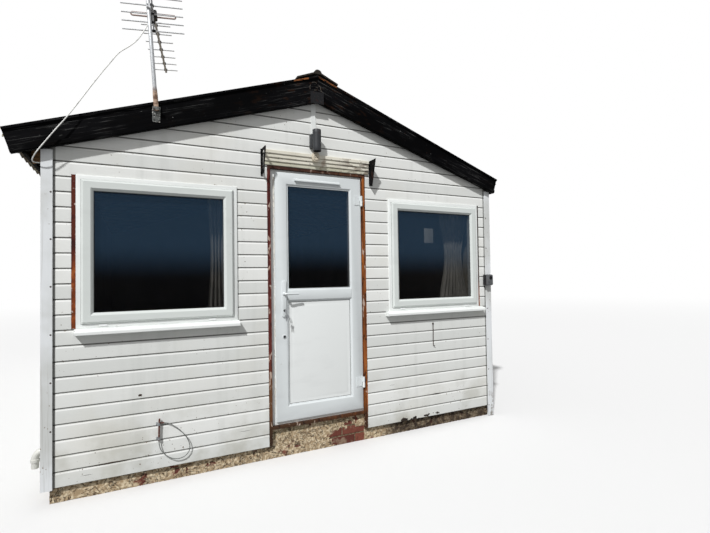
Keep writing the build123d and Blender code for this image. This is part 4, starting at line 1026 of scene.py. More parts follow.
def makeDoorLeaf():
    d = door
    leaf, gasket, panel = Shape(), Shape(), Shape()
    front, back, seat, reach = d["front"], d["back"], d["flangeBack"], d["reach"]
    outer = [(0, 0, seat), (0, 0, front + 0.005), (0, 0.0012, front + 0.0015), (0, 0.004, front),
             (1, -0.013, front), (1, -0.0115, front + 0.0006), (1, -0.002, front + 0.0095),
             (1, 0, front + 0.012), (1, 0, back - 0.010), (1, -0.012, back), (0, 0.020, back),
             (0, reach, back - 0.004), (0, reach, seat)]
    leaf.mitred((d["left"], d["right"], d["bottom"], d["top"]),
                (d["stile"], d["stile"], d["bottomRail"], d["topRail"]), outer)
    low, high = d["middleBottom"], d["middleBottom"] + d["middleRail"]
    half = [(0.012, 0), (0.0095, 0.002), (0.0006, 0.0115), (0, 0.013)]
    rail = [(front + y, low + z) for y, z in half] + [(front + y, high - z) for y, z in half[::-1]]
    rail += [(back - 0.010, high), (back, high - 0.012), (back, low + 0.012), (back - 0.010, low)]
    x0, x1 = d["left"] + d["stile"], d["right"] - d["stile"]
    leaf.prism(rail, x0 - 0.006, x1 + 0.006, "X")
    panelled = (x0, x1, d["bottom"] + d["bottomRail"], low)
    for box, y in (((x0, x1, high, d["top"] - d["topRail"]), d["glassFront"]), (panelled, d["panelFront"])):
        leaf.mitred(box, 0.0, [(0, -0.001, y + 0.001), (0, -0.001, front + 0.011), (0, 0.001, front + 0.0095),
                               (0, 0.004, y - 0.003), (0, 0.005, y - 0.0015), (0, 0.005, y + 0.001)])
        gasket.mitred(box, 0.0, [(0, 0.0048, y - 0.0022), (0, 0.0072, y - 0.0012), (0, 0.0072, y + 0.001),
                                 (0, 0.0048, y + 0.001)])
    border, seat = d["panelBorder"], d["panelFront"]
    rows = []
    for inset, y in ((0.0, d["panelThick"]), (0.0, 0.0), (border - 0.016, 0.0), (border - 0.010, -0.0006),
                     (border - 0.001, -0.0032), (border + 0.004, -0.004)):
        a, b, c, e = grown(panelled, -inset)
        rows.append([(a, seat + y, c), (b, seat + y, c), (b, seat + y, e), (a, seat + y, e)])
    panel.rings(rows)
    leaf.make("doorLeaf", "doorPlastic", node="door_leaf", smooth=30, **doorParts)
    gasket.make("doorGasket", "rubber", **doorParts)
    panel.make("doorPanel", "doorField", node="door_panel", smooth=25, **doorParts)


def makeDoorFrame():
    d, w, lap = door, doorway, door["frameLap"]
    x0, x1 = w["left"] + w["side"], w["right"] - w["side"]
    z0, z1 = w["bottom"] + w["sill"], w["top"] - w["head"]
    sides = (d["left"] + lap - x0, x1 - d["right"] + lap, d["bottom"] + lap - z0, z1 - d["top"] + lap)
    frame = Shape()
    frame.mitred((x0, x1, z0, z1), sides, frameProfile(d["frameFace"], d["frameBack"], 0.003, 1 / 3))
    frame.make("doorFrame", "plastic", "white_plastic", "door_frame", smooth=30)


def makeVent():
    v = {"left": -0.190, "right": 0.203, "bottom": 2.164, "height": 0.021, "depth": 0.017, "cap": 0.003}
    front, nose, low, high = door["front"], door["front"] - v["depth"], v["bottom"], v["height"]
    cap = [(front, low + 0.001), (front, low + high), (front - 0.004, low + high - 0.0005),
           (front - v["depth"] * 0.62, low + high * 0.80), (nose + 0.002, low + high * 0.50),
           (nose, low + high * 0.40), (nose, low)]
    outline = cap + [(nose + 0.002, low), (nose + 0.003, low + 0.008), (front - 0.004, low + 0.014),
                     (front - 0.004, low + 0.001)]
    vent = Shape()
    vent.prism(outline, v["left"] + v["cap"], v["right"] - v["cap"], "X")
    for x in (v["left"], v["right"] - v["cap"]):
        vent.prism(cap, x, x + v["cap"], "X")
    vent.make("doorVent", "doorPlastic", node="door_vent", smooth=30, **doorParts)


def makeHinges():
    h = {"heights": (0.500, 2.040), "knuckle": 0.044, "radius": 0.010, "pin": 0.005, "gap": 0.0005,
         "flagWidth": 0.062, "flagHeight": 0.080, "flagThickness": 0.004, "corner": 0.003}
    x, y = door["hingeAxis"]
    front, frame, r, pin, g = door["front"], door["frameFace"], h["radius"], h["pin"], h["corner"]
    edge, far = x - r, x - h["flagWidth"]
    flags, knuckles = Shape(), Shape()
    for z in h["heights"]:
        low, start = z - h["knuckle"], z + h["gap"]
        top = start + h["knuckle"]
        foot, face = top - h["flagHeight"], front - h["flagThickness"]
        knuckles.lathe([(r - 0.002, low), (r, low + 0.002), (r, z), (pin, z),
                        (pin, z + h["knuckle"] - 0.006)], (x, y, 0), sides=24)
        knuckles.prism([(x + 0.0025, y), (x + r, y), (x + r, frame), (x + 0.0025, frame)], low, z, "Z")
        flags.lathe([(pin + 0.0003, start), (r, start), (r, top - 0.002), (r - 0.002, top), (0.0001, top),
                     (0.0001, top - 0.0045), (pin + 0.0003, top - 0.0045)], (x, y, 0), sides=24)
        flags.prism([(edge, y), (x, y), (x, front), (edge, front)], start, top, "Z")
        flags.prism([(far + g, foot), (edge, foot), (edge, top), (far + g, top), (far, top - g),
                     (far, foot + g)], face, front)
        for dx in (0.014, 0.040):
            for dz in (0.014, 0.066):
                flags.lathe([(0.0045, 0), (0.0045, 0.0008), (0.0030, 0.0016), (0.0001, 0.0017)],
                            (edge - dx, face, top - dz), frontward, 12)
    flags.make("doorHingeFlags", "doorPlastic", node="door_hinges", smooth=30, bevel=0.0006, **doorParts)
    knuckles.make("doorHingeKnuckles", "plastic", "white_plastic", "hinge_brackets", smooth=30)


def makeHandle():
    h = {"x": -0.284, "width": 0.034, "bottom": 1.086, "height": 0.285, "thick": 0.010, "corner": 0.012,
         "leverZ": 1.268, "leverLength": 0.108, "standOff": 0.044, "keyZ": 1.138, "lockZ": 0.934,
         "ringDrop": 0.018, "keys": ((0.004, 0.052, 0.009), (-0.006, 0.047, 0.008), (0.010, 0.056, 0.010))}
    handle, dark, keys, ring = Shape(), Shape(), Shape(), Shape()
    x, lever, top, keyZ, reach = h["x"], h["leverZ"], h["thick"], h["keyZ"], h["leverLength"]
    half, low, high = h["width"] / 2, h["bottom"], h["bottom"] + h["height"]
    for face, out in ((door["front"], -1), (door["back"], 1)):
        handle.layers((x - half, x + half, low, high), h["corner"],
                      *((inset, face + out * depth) for inset, depth in
                        ((0, 0.0), (0, 0.0068), (0.0010, 0.0088), (0.0034, top))))
        outward = (0, out, 0)
        handle.lathe([(0.0145, top - 0.001), (0.0145, top + 0.003), (0.013, top + 0.006),
                      (0.0095, top + 0.008), (0.009, h["standOff"] + 0.002)], (x, face, lever), outward, 24)
        grip = ((-0.008, 0, 0.0055), (0, 0.002, 0.0088), (0.02, 0.001, 0.0088), (0.055, -0.003, 0.0082),
                (0.085, -0.005, 0.0085), (reach - 0.003, -0.006, 0.0078), (reach, -0.006, 0.0035))
        handle.tube([(x + along, face + out * (h["standOff"] + top + d), lever) for along, d, _ in grip],
                    [radius for _, _, radius in grip], 20)
        for z in (low + 0.014, high - 0.014):
            handle.head((x, face, z), 14, (0.0042, top - 0.001), (0.0042, top + 0.0006),
                        (0.0030, top + 0.0012), axis=outward)
        dark.head((x, face, keyZ), 24, (0.0090, top - 0.001), (0.0090, top + 0.0022), (0.0078, top + 0.0030),
                  axis=outward)
        slot = sorted((face + out * top, face + out * (top + 0.0036)))
        dark.box((x - 0.0012, slot[0], keyZ - 0.006), (x + 0.0012, slot[1], keyZ + 0.006))
    lock = (x, door["front"], h["lockZ"])
    handle.head(lock, 28, (0.0155, 0.0), (0.0155, 0.0025), (0.0135, 0.0048))
    dark.head(lock, 24, (0.0100, 0.0), (0.0100, 0.0060), (0.0085, 0.0068))
    y = door["front"] - top
    keys.box((x - 0.0011, y - 0.022, keyZ - 0.0045), (x + 0.0011, y - 0.002, keyZ + 0.0045))
    keys.tube([(x, a, b) for a, b in arc(y - 0.033, keyZ, 0.011, 0, 360, 12)], 0.0021, 8)
    turns = [math.radians(24 * i) for i in range(16)]
    ring.tube([(x, y - 0.040 + 0.012 * math.sin(a), keyZ - h["ringDrop"] - 0.013 * math.cos(a))
               for a in turns], 0.0011, 8)
    for k, (lean, length, wide) in enumerate(h["keys"]):
        a, b, z = x + 0.002 * k, y - 0.040 - 0.003 * k, keyZ - h["ringDrop"] - 0.014
        keys.tube([(a, b, z), (a + lean * 0.3, b, z - 0.010), (a + lean, b, z - length)],
                  [wide * 0.30, wide * 0.55, wide * 0.16], 6)
        keys.lathe([(0.0001, -0.0012), (wide, -0.0012), (wide, 0.0012), (0.0001, 0.0012)],
                   (a + lean * 0.2, b, z - 0.008), (0, 1, 0), 14)
    handle.make("doorHandle", "doorPlastic", "handle_enamel", "door_handle", "door", smooth=32)
    dark.make("doorLocks", "dark", "handle_enamel", body="door", smooth=32)
    ring.make("keyRing", "steel", "handle_enamel", body="door", smooth=40)
    keys.make("hangingKeys", "steel", "handle_enamel", body="door", smooth=40)


makeDoorLeaf()
makeDoorFrame()
makeVent()
makeHinges()
makeHandle()
print("door ready")


# lining of the doorway: flaking, rotted timber with a coat that has lifted in places

def roughBar(shape, low, high, step, push, seed, tone=0.5, eaten=None):
    # a bar cut into small cells, each corner pushed about by noise
    counts = [max(1, round((high[i] - low[i]) / step)) for i in range(3)]
    index, points, faces = {}, [], []

    def number(key):
        if key not in index:
            place = [low[i] + (high[i] - low[i]) * key[i] / counts[i] for i in range(3)]
            amount = push + (eaten(place) if eaten else 0)
            for i, change in enumerate((0, 5, 9)):
                move = abs(roughness(*place[:3], 34, seed + change)) * amount
                move *= 1 if place[i] < (low[i] + high[i]) / 2 else -1
                place.append(place[i] + move * (0.2 if 0 < key[i] < counts[i] else 1))
            index[key] = len(points)
            points.append(tuple(place[3:]))
        return index[key]

    for axis in range(3):
        b, c = (axis + 1) % 3, (axis + 2) % 3
        for side in (0, counts[axis]):
            for i in range(counts[b]):
                for j in range(counts[c]):
                    face = []
                    for di, dj in ((0, 0), (1, 0), (1, 1), (0, 1)):
                        key = [side] * 3
                        key[b], key[c] = i + di, j + dj
                        face.append(number(tuple(key)))
                    faces.append(face)
    shape.add(points, faces, tone)


def makeLining():
    w = doorway
    x0, x1, z0, z1 = w["left"], w["right"], w["bottom"], w["top"]
    in0, in1, front, back = x0 + w["side"], x1 - w["side"], w["front"], w["back"]
    bars = Shape()
    sizes = (((x0, front, z0), (in0, back, z1)),
             ((in1, front, z0), (x1, back, z1)),
             ((in0, front, z0), (in1, back, z0 + w["sill"])),
             ((in0, front, z1 - w["head"]), (in1, back, z1)),
             ((x0, front, w["legFoot"]), (in0, w["legBack"], z0)),
             ((in1, front, w["legFoot"]), (x1, w["legBack"], z0)))
    for seed, (low, high) in enumerate(sizes, 21):
        roughBar(bars, low, high, 0.011, 0.0024, seed,
                 eaten=lambda place: 0.010 * max(0.0, 1 - (place[2] - w["legFoot"]) / 0.16))
    bars.make("doorLining", "jamb", "bare_timber", "door_lining", smooth=50)


def makeSideStrips():
    wide = windowSize["stripWidth"]
    for seed, side in enumerate(windows, 31):
        x0, x1, z0, z1 = windowBox(side)
        low = x0 - wide if side == "left" else x1
        strip = Shape()
        roughBar(strip, (low, windows[side]["stripFront"], z0), (low + wide, windowSize["stripBack"], z1),
                 0.009, 0.0030, seed)
        strip.make(side + "WindowStrip", "rustStrip", "bare_timber", onceFor(side, "window_side_strips"),
                   smooth=50)


def makeSealant():             # old white sealant smeared along the leaf's left edge and its frame
    smear = Shape()

    def keep(u, v):
        jag = 0.006 + 0.005 * roughness(v, 0.3, 0.1, 22, 3) + 0.004 * roughness(v, 2.3, 1.1, 70, 3)
        return u < jag + (0.004 if v > 1.2 else -0.001)
    smear.scraps(lambda u, v, lift: (door["left"] - 0.012 + u, door["frameFace"] - 0.0004 - lift,
                                     door["bottom"] + 0.06 + v),
                 0.0115, door["top"] - door["bottom"] - 0.1, 0.0036, keep, 0.0022, 5)
    smear.make("doorSealant", "sealant", "white_plastic", smooth=60)


makeLining()
makeSideStrips()
makeSealant()
print("lining, strips and sealant ready")


# roof: corrugated sheets in two courses a side, their fixings, and the ridge capping

roof = {
    "sheetThick": 0.006, "waveHeight": 0.030, "steps": 12, "ridgeGap": 0.030, "lap": 0.15,
    "reach": {"Left": 2.110, "Right": 2.000}, "front": -0.095, "rear": 5.955, "lift": 0.0045,
    "columnLift": 0.0022, "columns": 6, "screwRadius": 0.006, "washerRadius": 0.014,
    "screwsFromRidge": 0.30, "screwsFromEave": 0.16,
}


def onSlope(hand, down, y, up):  # a place on a slope: down it, along the ridge, square above it
    pitch = chalet["pitch"]
    x = down * math.cos(pitch) + up * math.sin(pitch)
    return (hand * x, y, chalet["rafterPlane"] - down * math.sin(pitch) + up * math.cos(pitch))


def waveRise(y):
    turn = 2 * math.pi * (y - roof["front"]) / chalet["waveLength"]
    return roof["waveHeight"] / 2 * (1 - math.cos(turn))


def makeSheets():
    r, wave = roof, chalet["waveLength"]
    waves = round((r["rear"] - r["front"]) / wave)
    perSheet = math.ceil(waves / r["columns"])
    for name, hand in (("Left", -1), ("Right", 1)):
        sheets, fixings = Shape(), Shape()
        rng = random.Random(7 + hand)
        reach = r["reach"][name]
        middle = (r["ridgeGap"] + reach) / 2
        courses = ((middle - r["lap"] / 2, reach, 0.85), (r["ridgeGap"], middle + r["lap"] / 2, 0.9))
        for course, (start, end, share) in enumerate(courses):
            for column in range(r["columns"]):
                y0 = r["front"] + column * perSheet * wave
                y1 = min(y0 + (perSheet + 0.5) * wave, r["rear"])
                lift = chalet["sheetPlane"] + course * r["lift"] + (column % 2) * r["columnLift"]
                tone, slip = rng.random(), rng.uniform(-0.006, 0.0)
                count = round((y1 - y0) / wave * r["steps"])
                rows = []
                for down in (start, start + 0.01, (start + end) / 2, end + slip - 0.004, end + slip):
                    spots = [y0 + (y1 - y0) * i / count for i in range(count + 1)]
                    spots = [(y, lift + waveRise(y) * 0.985 + 0.0012 * roughness(down, y, column, 2.5, 4))
                             for y in spots]
                    upper = [(y, rise + r["sheetThick"] * share) for y, rise in spots[::-1]]
                    rows.append([onSlope(hand, down, y, rise) for y, rise in spots + upper])
                sheets.rings(rows, tone=tone)
        lift = chalet["sheetPlane"] + r["waveHeight"] + r["sheetThick"] + 0.002
        washer, screw = r["washerRadius"], r["screwRadius"]
        for down in (r["screwsFromRidge"], middle, reach - r["screwsFromEave"]):
            for i in range(1, waves, 3):
                y = r["front"] + (i + 0.5) * wave
                base = Vector(onSlope(hand, down, y, lift))
                fixings.head(base, 8, (washer, -0.002), (washer, 0.0012), (screw, 0.003), (screw, 0.0062),
                             (screw * 0.8, 0.0078), axis=Vector(onSlope(hand, down, y, lift + 1)) - base)
        sheets.make("roofSheets" + name, "sheet" + name, "roof_sheet", "roof_" + name.lower(), smooth=40)
        fixings.make("roofScrews" + name, "rusty", "galvanised", smooth=40)


ridge = {"wing": 0.176, "thick": 0.012, "steeper": math.radians(3.9), "rise": 0.0573, "lip": 0.012,
         "rollRadius": 0.034, "rollDrop": 0.022, "pieces": 16, "collar": 0.045, "collarStep": 0.005,
         "front": -0.129, "rear": 5.989, "beddingSteps": 240}


def makeRidge():
    g, wing = ridge, ridge["wing"]
    crease = slopeHeight(0, chalet["sheetPlane"] + roof["waveHeight"] + roof["sheetThick"]) + g["rise"]
    fall = math.tan(chalet["pitch"] + g["steeper"])
    centre = crease - g["rollDrop"]
    cap, bedding = Shape(), Shape()

    def outline(grow):         # up over the roll from wing edge to wing edge, and back beneath
        radius = g["rollRadius"] + grow
        meet = radius * 0.94
        side = [(x, crease - x * fall + grow * 0.5) for x in (wing, meet + 0.010)]
        low = math.degrees(math.atan2(crease - meet * fall - centre, meet))
        under = [(x, crease - abs(x) * fall - g["thick"]) for x in (0.03, -0.03)]
        edge = crease - wing * fall - g["thick"]
        return [*((-x, z) for x, z in side), *arc(0, centre, radius, 180 - low, low, 16), *side[::-1],
                (wing - 0.001, edge), *under, (0.001 - wing, edge)]

    spacing = (g["rear"] - g["front"]) / g["pieces"]
    rng = random.Random(11)
    for i in range(g["pieces"]):
        y0 = g["front"] + i * spacing
        tone = rng.random()
        cap.rings([[(x + 0.0012 * roughness(x, y, z, 9, i), y,
                     z + (0.0022 * roughness(x, y, z, 11, i + 2) if z < crease + 0.01 else 0))
                    for x, z in outline(0.0)] for y in (y0, y0 + spacing / 2, y0 + spacing)], tone=tone)
        if i:                  # the collar over the joint
            collar = ((0.0, 0.001), (0.004, g["collarStep"]), (g["collar"] - 0.004, g["collarStep"]),
                      (g["collar"], 0.001))
            cap.rings([[(x, y0 + t, z) for x, z in outline(grow)] for t, grow in collar], tone=tone)
    top = crease - wing * fall - g["thick"] * 0.5
    inner = wing - g["lip"] - 0.006
    for hand in (-1, 1):       # the mortar under the wings' edges
        rows = []
        for i in range(g["beddingSteps"] + 1):
            y = roof["front"] + (roof["rear"] - roof["front"]) * i / g["beddingSteps"]
            outer = wing - 0.002 + 0.004 * roughness(y, hand, 0, 6, 1)
            dip = chalet["sheetPlane"] + min(waveRise(y), roof["waveHeight"]) + roof["sheetThick"]
            corners = ((inner, slopeHeight(inner, dip)), (outer, slopeHeight(outer, dip)),
                       (outer - 0.003, top), (inner, top))
            rows.append([(hand * x, y, z) for x, z in corners])
        bedding.rings(rows, tone=0.4)
    cap.make("ridgeCap", "ridge", "roof_sheet", "ridge_cap", smooth=38)
    bedding.make("ridgeBedding", "bedding", "roof_sheet", smooth=50)


makeSheets()
makeRidge()
print("roof ready")


# bargeboards, apex plate and what was stuck on it

barge = {
    "footApex": 2.808, "footPitch": math.radians(17.8), "topApex": 3.026, "face": -0.119, "lip": -0.129,
    "nails": 8, "nailStart": 0.12, "nailMargins": 0.22, "nailRows": (0.060, 0.130), "stripHeight": 0.0165,
    # the two sides: hand, reach, slope of the top, where its strip has lost its paint, and its seed
    "slopes": ((-1, 2.094, math.radians(19.1), (0.080, 0.205), 3),
               (1, 1.969, math.radians(19.5), (0.004, 0.165), 8)),
}


def makeBargeNails():
    b = barge
    nails, worn = Shape(), Shape()
    rng = random.Random(23)
    for hand, reach, top, (start, end), seed in b["slopes"]:
        spacing = (reach * math.cos(b["footPitch"]) - b["nailMargins"]) / (b["nails"] - 1)
        for i in range(b["nails"]):
            x = b["nailStart"] + spacing * i + rng.uniform(-0.01, 0.01)
            for up in b["nailRows"]:
                z = b["footApex"] - x * math.tan(b["footPitch"]) + up + rng.uniform(-0.006, 0.006)
                nails.head((hand * x, b["face"], z), 8, (0.0045, -0.001), (0.0045, 0.0010), (0.003, 0.0018))
        worn.scraps(lambda u, v, lift: (hand * (start + u), b["lip"] - lift,
                                        b["topApex"] - (start + u) * math.tan(top) - b["stripHeight"] + v),
                    end - start, 0.0135, 0.0045, lambda u, v: roughness(u, v * 6, 0.4, 25, seed) > -0.35,
                    0.0007, seed)
    nails.make("bargeNails", "iron", "black_boards", smooth=40)
    worn.make("bargeWornEdge", "wornTimber", "black_boards", smooth=60)


apex = {
    "left": -0.068, "right": 0.044, "bottom": 2.790, "top": 2.886, "thick": 0.010,
    "runs": (  # dried runs above the plate
        [(-0.066, 2.905), (-0.069, 2.926), (-0.063, 2.940)],
        [(-0.052, 2.962), (-0.030, 2.971), (-0.010, 2.964)],
        [(0.010, 2.950), (0.024, 2.932), (0.026, 2.915), (0.034, 2.903)], [(-0.034, 2.902), (-0.012, 2.908)],
        [(-0.020, 2.934), (-0.006, 2.928), (0.002, 2.934)]),
}


def makeApex():
    board, strokes = Shape(), Shape()
    back = barge["lip"]
    roughBar(board, (apex["left"], back - apex["thick"], apex["bottom"]), (apex["right"], back, apex["top"]),
             0.008, 0.0022, 61)
    for run in apex["runs"]:
        strokes.tube([(x, barge["face"] - 0.0006, z) for x, z in run],
                     [0.0016 + 0.0016 * abs(roughness(x, z, 0, 60)) for x, z in run], 8)
    board.make("apexPlate", "greyPlate", "black_boards", "apex_plate", smooth=50)
    strokes.make("apexSealant", "oldTar", "black_boards", smooth=60)


makeBargeNails()
makeApex()


# what is left of the canopy: stepped battens and two iron brackets

canopy = {"left": -0.435, "right": 0.475, "height": 0.029, "count": 4, "first": 0.008, "step": 0.008,
          "bottom": 2.271, "bracketTop": 2.390, "bracketHeight": 0.210, "thick": 0.006,
          "leftX": -0.452, "rightX": 0.488, "reach": 0.120, "foot": 0.055, "flange": 0.030, "ring": 0.012}


def makeBattens():
    c, wall, soft, steps = canopy, chalet["wall"], 0.0035, 34
    battens = Shape()
    rng = random.Random(31)
    for i in range(c["count"]):
        front = wall - c["first"] - i * c["step"]
        low = c["bottom"] + i * c["height"]
        high = low + c["height"] - 0.0012
        start, end = c["left"] + rng.uniform(0, 0.006), c["right"] - rng.uniform(0, 0.006)
        rows = []
        for k in range(steps + 1):
            x = start + (end - start) * k / steps
            sag = max(0.0012 * roughness(x, i, 0, 4, i) - 0.0008, 0)
            worn = front + 0.0008 * roughness(x, i, 1, 25, i)
            rows.append([(x, wall, low), (x, front + soft, low + sag), (x, worn, low + soft),
                         (x, worn, high - soft), (x, front + soft, high), (x, wall, high)])
        battens.rings(rows, tone=rng.random())
    battens.make("canopyBattens", "mouldy", "white_boards", "canopy_battens", smooth=40)


def makeBrackets():
    c, wall, half, ring = canopy, chalet["wall"], canopy["thick"] / 2, canopy["ring"] / 2
    top, bottom = c["bracketTop"], c["bracketTop"] - c["bracketHeight"]
    brackets = Shape()
    x = c["rightX"]            # the right gusset, with a folded edge
    brackets.prism([(wall, bottom), (wall - c["foot"], bottom), (wall - c["reach"], top), (wall, top)],
                   x - half, x + half, "X")
    brackets.box((x, wall - c["thick"], bottom), (x + c["flange"], wall, top))
    x = c["leftX"]             # the left one is only its rim: a flat bar bent round
    rim = [(wall - ring, bottom + 0.018), (wall - ring, top - ring), (wall - c["reach"] + 0.008, top - ring),
           (wall - c["foot"] + 0.002, bottom + 0.018)]
    middle = [sum(p[k] for p in rim) / 4 for k in (0, 1)]
    loops = {(1.10, 1.05): [], (0.60, 0.82): []}
    for k in range(40):
        a, b, share = rim[k // 10], rim[(k // 10 + 1) % 4], k % 10 / 10
        corner = 0.93 if share == 0 else 1.0
        spot = [p + (q - p) * share for p, q in zip(a, b)]
        for grow, loop in loops.items():
            loop.append([m + (p - m) * g * corner for m, p, g in zip(middle, spot, grow)])
    ends = (x - half, x + half)
    outer, inner = ([[(end, *spot) for spot in loop] for end in ends] for loop in loops.values())
    brackets.rings([*outer, *inner[::-1], outer[0]], caps=False)
    brackets.box((x - 0.010, wall - c["thick"], bottom), (x + half, wall, top))
    for x in (c["leftX"] - 0.006, c["rightX"] + c["flange"] * 0.55):
        for z in (bottom + 0.025, (bottom + top) / 2, top - 0.025):
            brackets.head((x, wall - c["thick"], z), 6, (0.0075, 0), (0.0075, 0.0014), (0.0055, 0.0016),
                          (0.0055, 0.0062))
    brackets.make("canopyBrackets", "iron", "black_iron", "canopy_brackets", smooth=30, bevel=0.0012)


makeBattens()
makeBrackets()


# lamp, its trunking, the old socket and the camera

lamp = {"x": -0.024, "y": -0.144, "radius": 0.034, "bottom": 2.402, "height": 0.173, "boxWidth": 0.072,
        "boxHeight": 0.113, "boxBottom": 2.437, "boxFront": -0.112, "rim": 0.004, "groove": 0.030}


def makeLamp():
    m = lamp
    body, lenses = Shape(), Shape()
    x, r, inside, groove = m["x"], m["radius"], m["radius"] - m["rim"], m["groove"]
    low, high, boxTop = m["bottom"], m["bottom"] + m["height"], m["boxBottom"] + m["boxHeight"]
    end = [(inside, 0.018), (inside, 0.001), (inside + 0.001, 0), (r - 0.001, 0), (r, 0.0015), (r, groove),
           (r - 0.0007, groove + 0.0005), (r - 0.0007, groove + 0.0015), (r, groove + 0.002)]
    body.lathe([(a, low + rise) for a, rise in end] + [(a, high - drop) for a, drop in end[::-1]],
               (x, m["y"], 0), sides=48)
    half = m["boxWidth"] / 2
    body.plate((x - half, x + half, m["boxBottom"], boxTop), m["boxFront"], chalet["wall"], 0.006)
    for aside in (-0.026, 0.026):
        body.head((x + aside, m["boxFront"], boxTop - 0.012), 12, (0.004, 0), (0.004, 0.0015),
                  (0.0026, 0.0024))
    for z in (low + 0.012, high - 0.016):
        lenses.lathe([(0.0001, z), (inside, z), (inside, z + 0.004), (0.0001, z + 0.004)], (x, m["y"], 0))
    body.make("wallLight", "housing", "grey_housing", "wall_light", smooth=35)
    lenses.make("wallLightLenses", "lens", "grey_housing", smooth=35)


def makeTrunking():
    t = {"top": 2.819, "half": 0.021, "depth": 0.004, "steps": 12, "socketHalf": 0.029, "socketLow": 2.326,
         "socketHigh": 2.400, "socketFront": 0.052, "socketThick": 0.020, "ringZ": 2.361,
         "smear": (-0.045, 2.355, 0.090, 0.031)}
    x, wall, half, foot = lamp["x"], chalet["wall"], t["half"], lamp["boxBottom"] + lamp["boxHeight"]
    face, front, z = wall - t["depth"], wall - t["socketFront"], t["ringZ"]
    run, socket, holes, stains = Shape(), Shape(), Shape(), Shape()
    section = [(-half, wall), (-half, face + 0.001), (0.001 - half, face), (half - 0.001, face),
               (half, face + 0.001), (half, wall)]
    rows = []
    for i in range(t["steps"] + 1):
        up = foot + (t["top"] - foot) * i / t["steps"]
        rows.append([(x + a + 0.0008 * roughness(up, 0, 0, 6, 3), y, up) for a, y in section])
    run.rings(rows)
    run.box((x - half - 0.0006, face - 0.0006, foot + 0.11), (x + half + 0.0006, wall, foot + 0.126))
    socket.plate((x - t["socketHalf"], x + t["socketHalf"], t["socketLow"], t["socketHigh"]),
                 front, front + t["socketThick"], 0.020)
    socket.head((x, front, z), 30, (0.0255, 0.0), (0.0255, 0.0045), (0.0235, 0.006), (0.0165, 0.006),
                (0.015, 0.0035))
    for dx, dz in ((0, 0.009), (-0.008, -0.005), (0.008, -0.005)):
        holes.head((x + dx, front, z + dz), 12, (0.0034, 0), (0.0034, 0.0046))
    aside, low, width, height = t["smear"]
    stains.scraps(lambda u, v, lift: (x + aside + u, wall - 0.0330 - lift, low + v), width, height, 0.0042,
                  lambda u, v: math.hypot(u - 0.045, v - 0.016) < 0.036 + 0.012 * roughness(u, v, 0, 40, 6)
                  and roughness(u, v, 3, 45, 2) > -0.05, 0.0022, 17)
    run.make("lightTrunking", "plastic", "white_plastic", "light_trunking", smooth=35)
    socket.make("oldSocket", "stained", "white_plastic", smooth=35)
    holes.make("socketHoles", "dark", "white_plastic")
    stains.make("socketSealant", "sealant", "white_plastic", smooth=60)


def makeCamera():
    c = {"x": 1.792, "bottom": 1.290, "width": 0.086, "height": 0.106, "back": -0.082, "depth": 0.050,
         "lensSide": 0.010, "lensDrop": 0.030, "lens": 0.013, "lights": 6}
    x, half, low, high = c["x"], c["width"] / 2, c["bottom"], c["bottom"] + c["height"]
    front, box = c["back"] - c["depth"], (x - half, x + half, low, high)
    body, face, eye = Shape(), Shape(), Shape()
    body.plate(box, front + 0.010, c["back"], 0.010, 0.003)
    face.plate(grown(box, -0.003), front, front + 0.0102, 0.009, 0.003)
    eye.lathe([(0.0185, 0.0), (0.0185, 0.0035), (0.0165, 0.0055), (c["lens"], 0.008), (0.0115, 0.008),
               (0.0100, 0.0045), (0.0070, 0.0052), (0.0035, 0.0062), (0.0001, 0.0065)],
              (x + c["lensSide"], front, high - c["lensDrop"]), frontward)
    for a, b in arc(x - 0.012, low + 0.030, 0.009, 30, 390, c["lights"])[:-1]:
        eye.lathe([(0.0026, 0.0), (0.0026, 0.0012), (0.0014, 0.0022), (0.0001, 0.0024)], (a, front, b),
                  frontward, 10)
    body.make("wallCamera", "dark", "grey_housing", "wall_camera", smooth=35)
    face.make("cameraFace", "cameraGrey", "grey_housing", smooth=35)
    eye.make("cameraLens", "lens", "grey_housing", smooth=35)


makeLamp()
makeTrunking()
makeCamera()
print("canopy, lamp and camera ready")


# small things on the wall

def makeDoorHook():
    k = {"x": 1.136, "top": 0.950, "length": 0.206, "radius": 0.0036, "eye": 0.0070}
    x, top, radius, wall = k["x"], k["top"], k["radius"], chalet["wall"]
    y, low = wall - radius - 0.0002, top - k["length"]
    hook = Shape()
    hook.tube([(a, y, b) for a, b in arc(x, top, k["eye"], -90, -450, 15)], radius * 0.8, 10)
    hook.tube([(x, y, top - k["eye"]), (x + 0.0008, y, top - 0.07), (x - 0.0008, y, top - 0.14),
               (x, y, low + 0.010), (x + 0.003, y - 0.003, low + 0.003), (x + 0.008, y - 0.008, low + 0.001),
               (x + 0.012, y - 0.010, low + 0.004)], [radius] * 6 + [radius * 0.6], 10)
    hook.lathe([(0.0040, 0), (0.0040, 0.007), (0.0030, 0.0085), (0.0001, 0.0088)], (x, wall, top),
               frontward, 10)
    hook.make("doorHook", "hookIron", "rusty_iron", "door_hook", smooth=50)


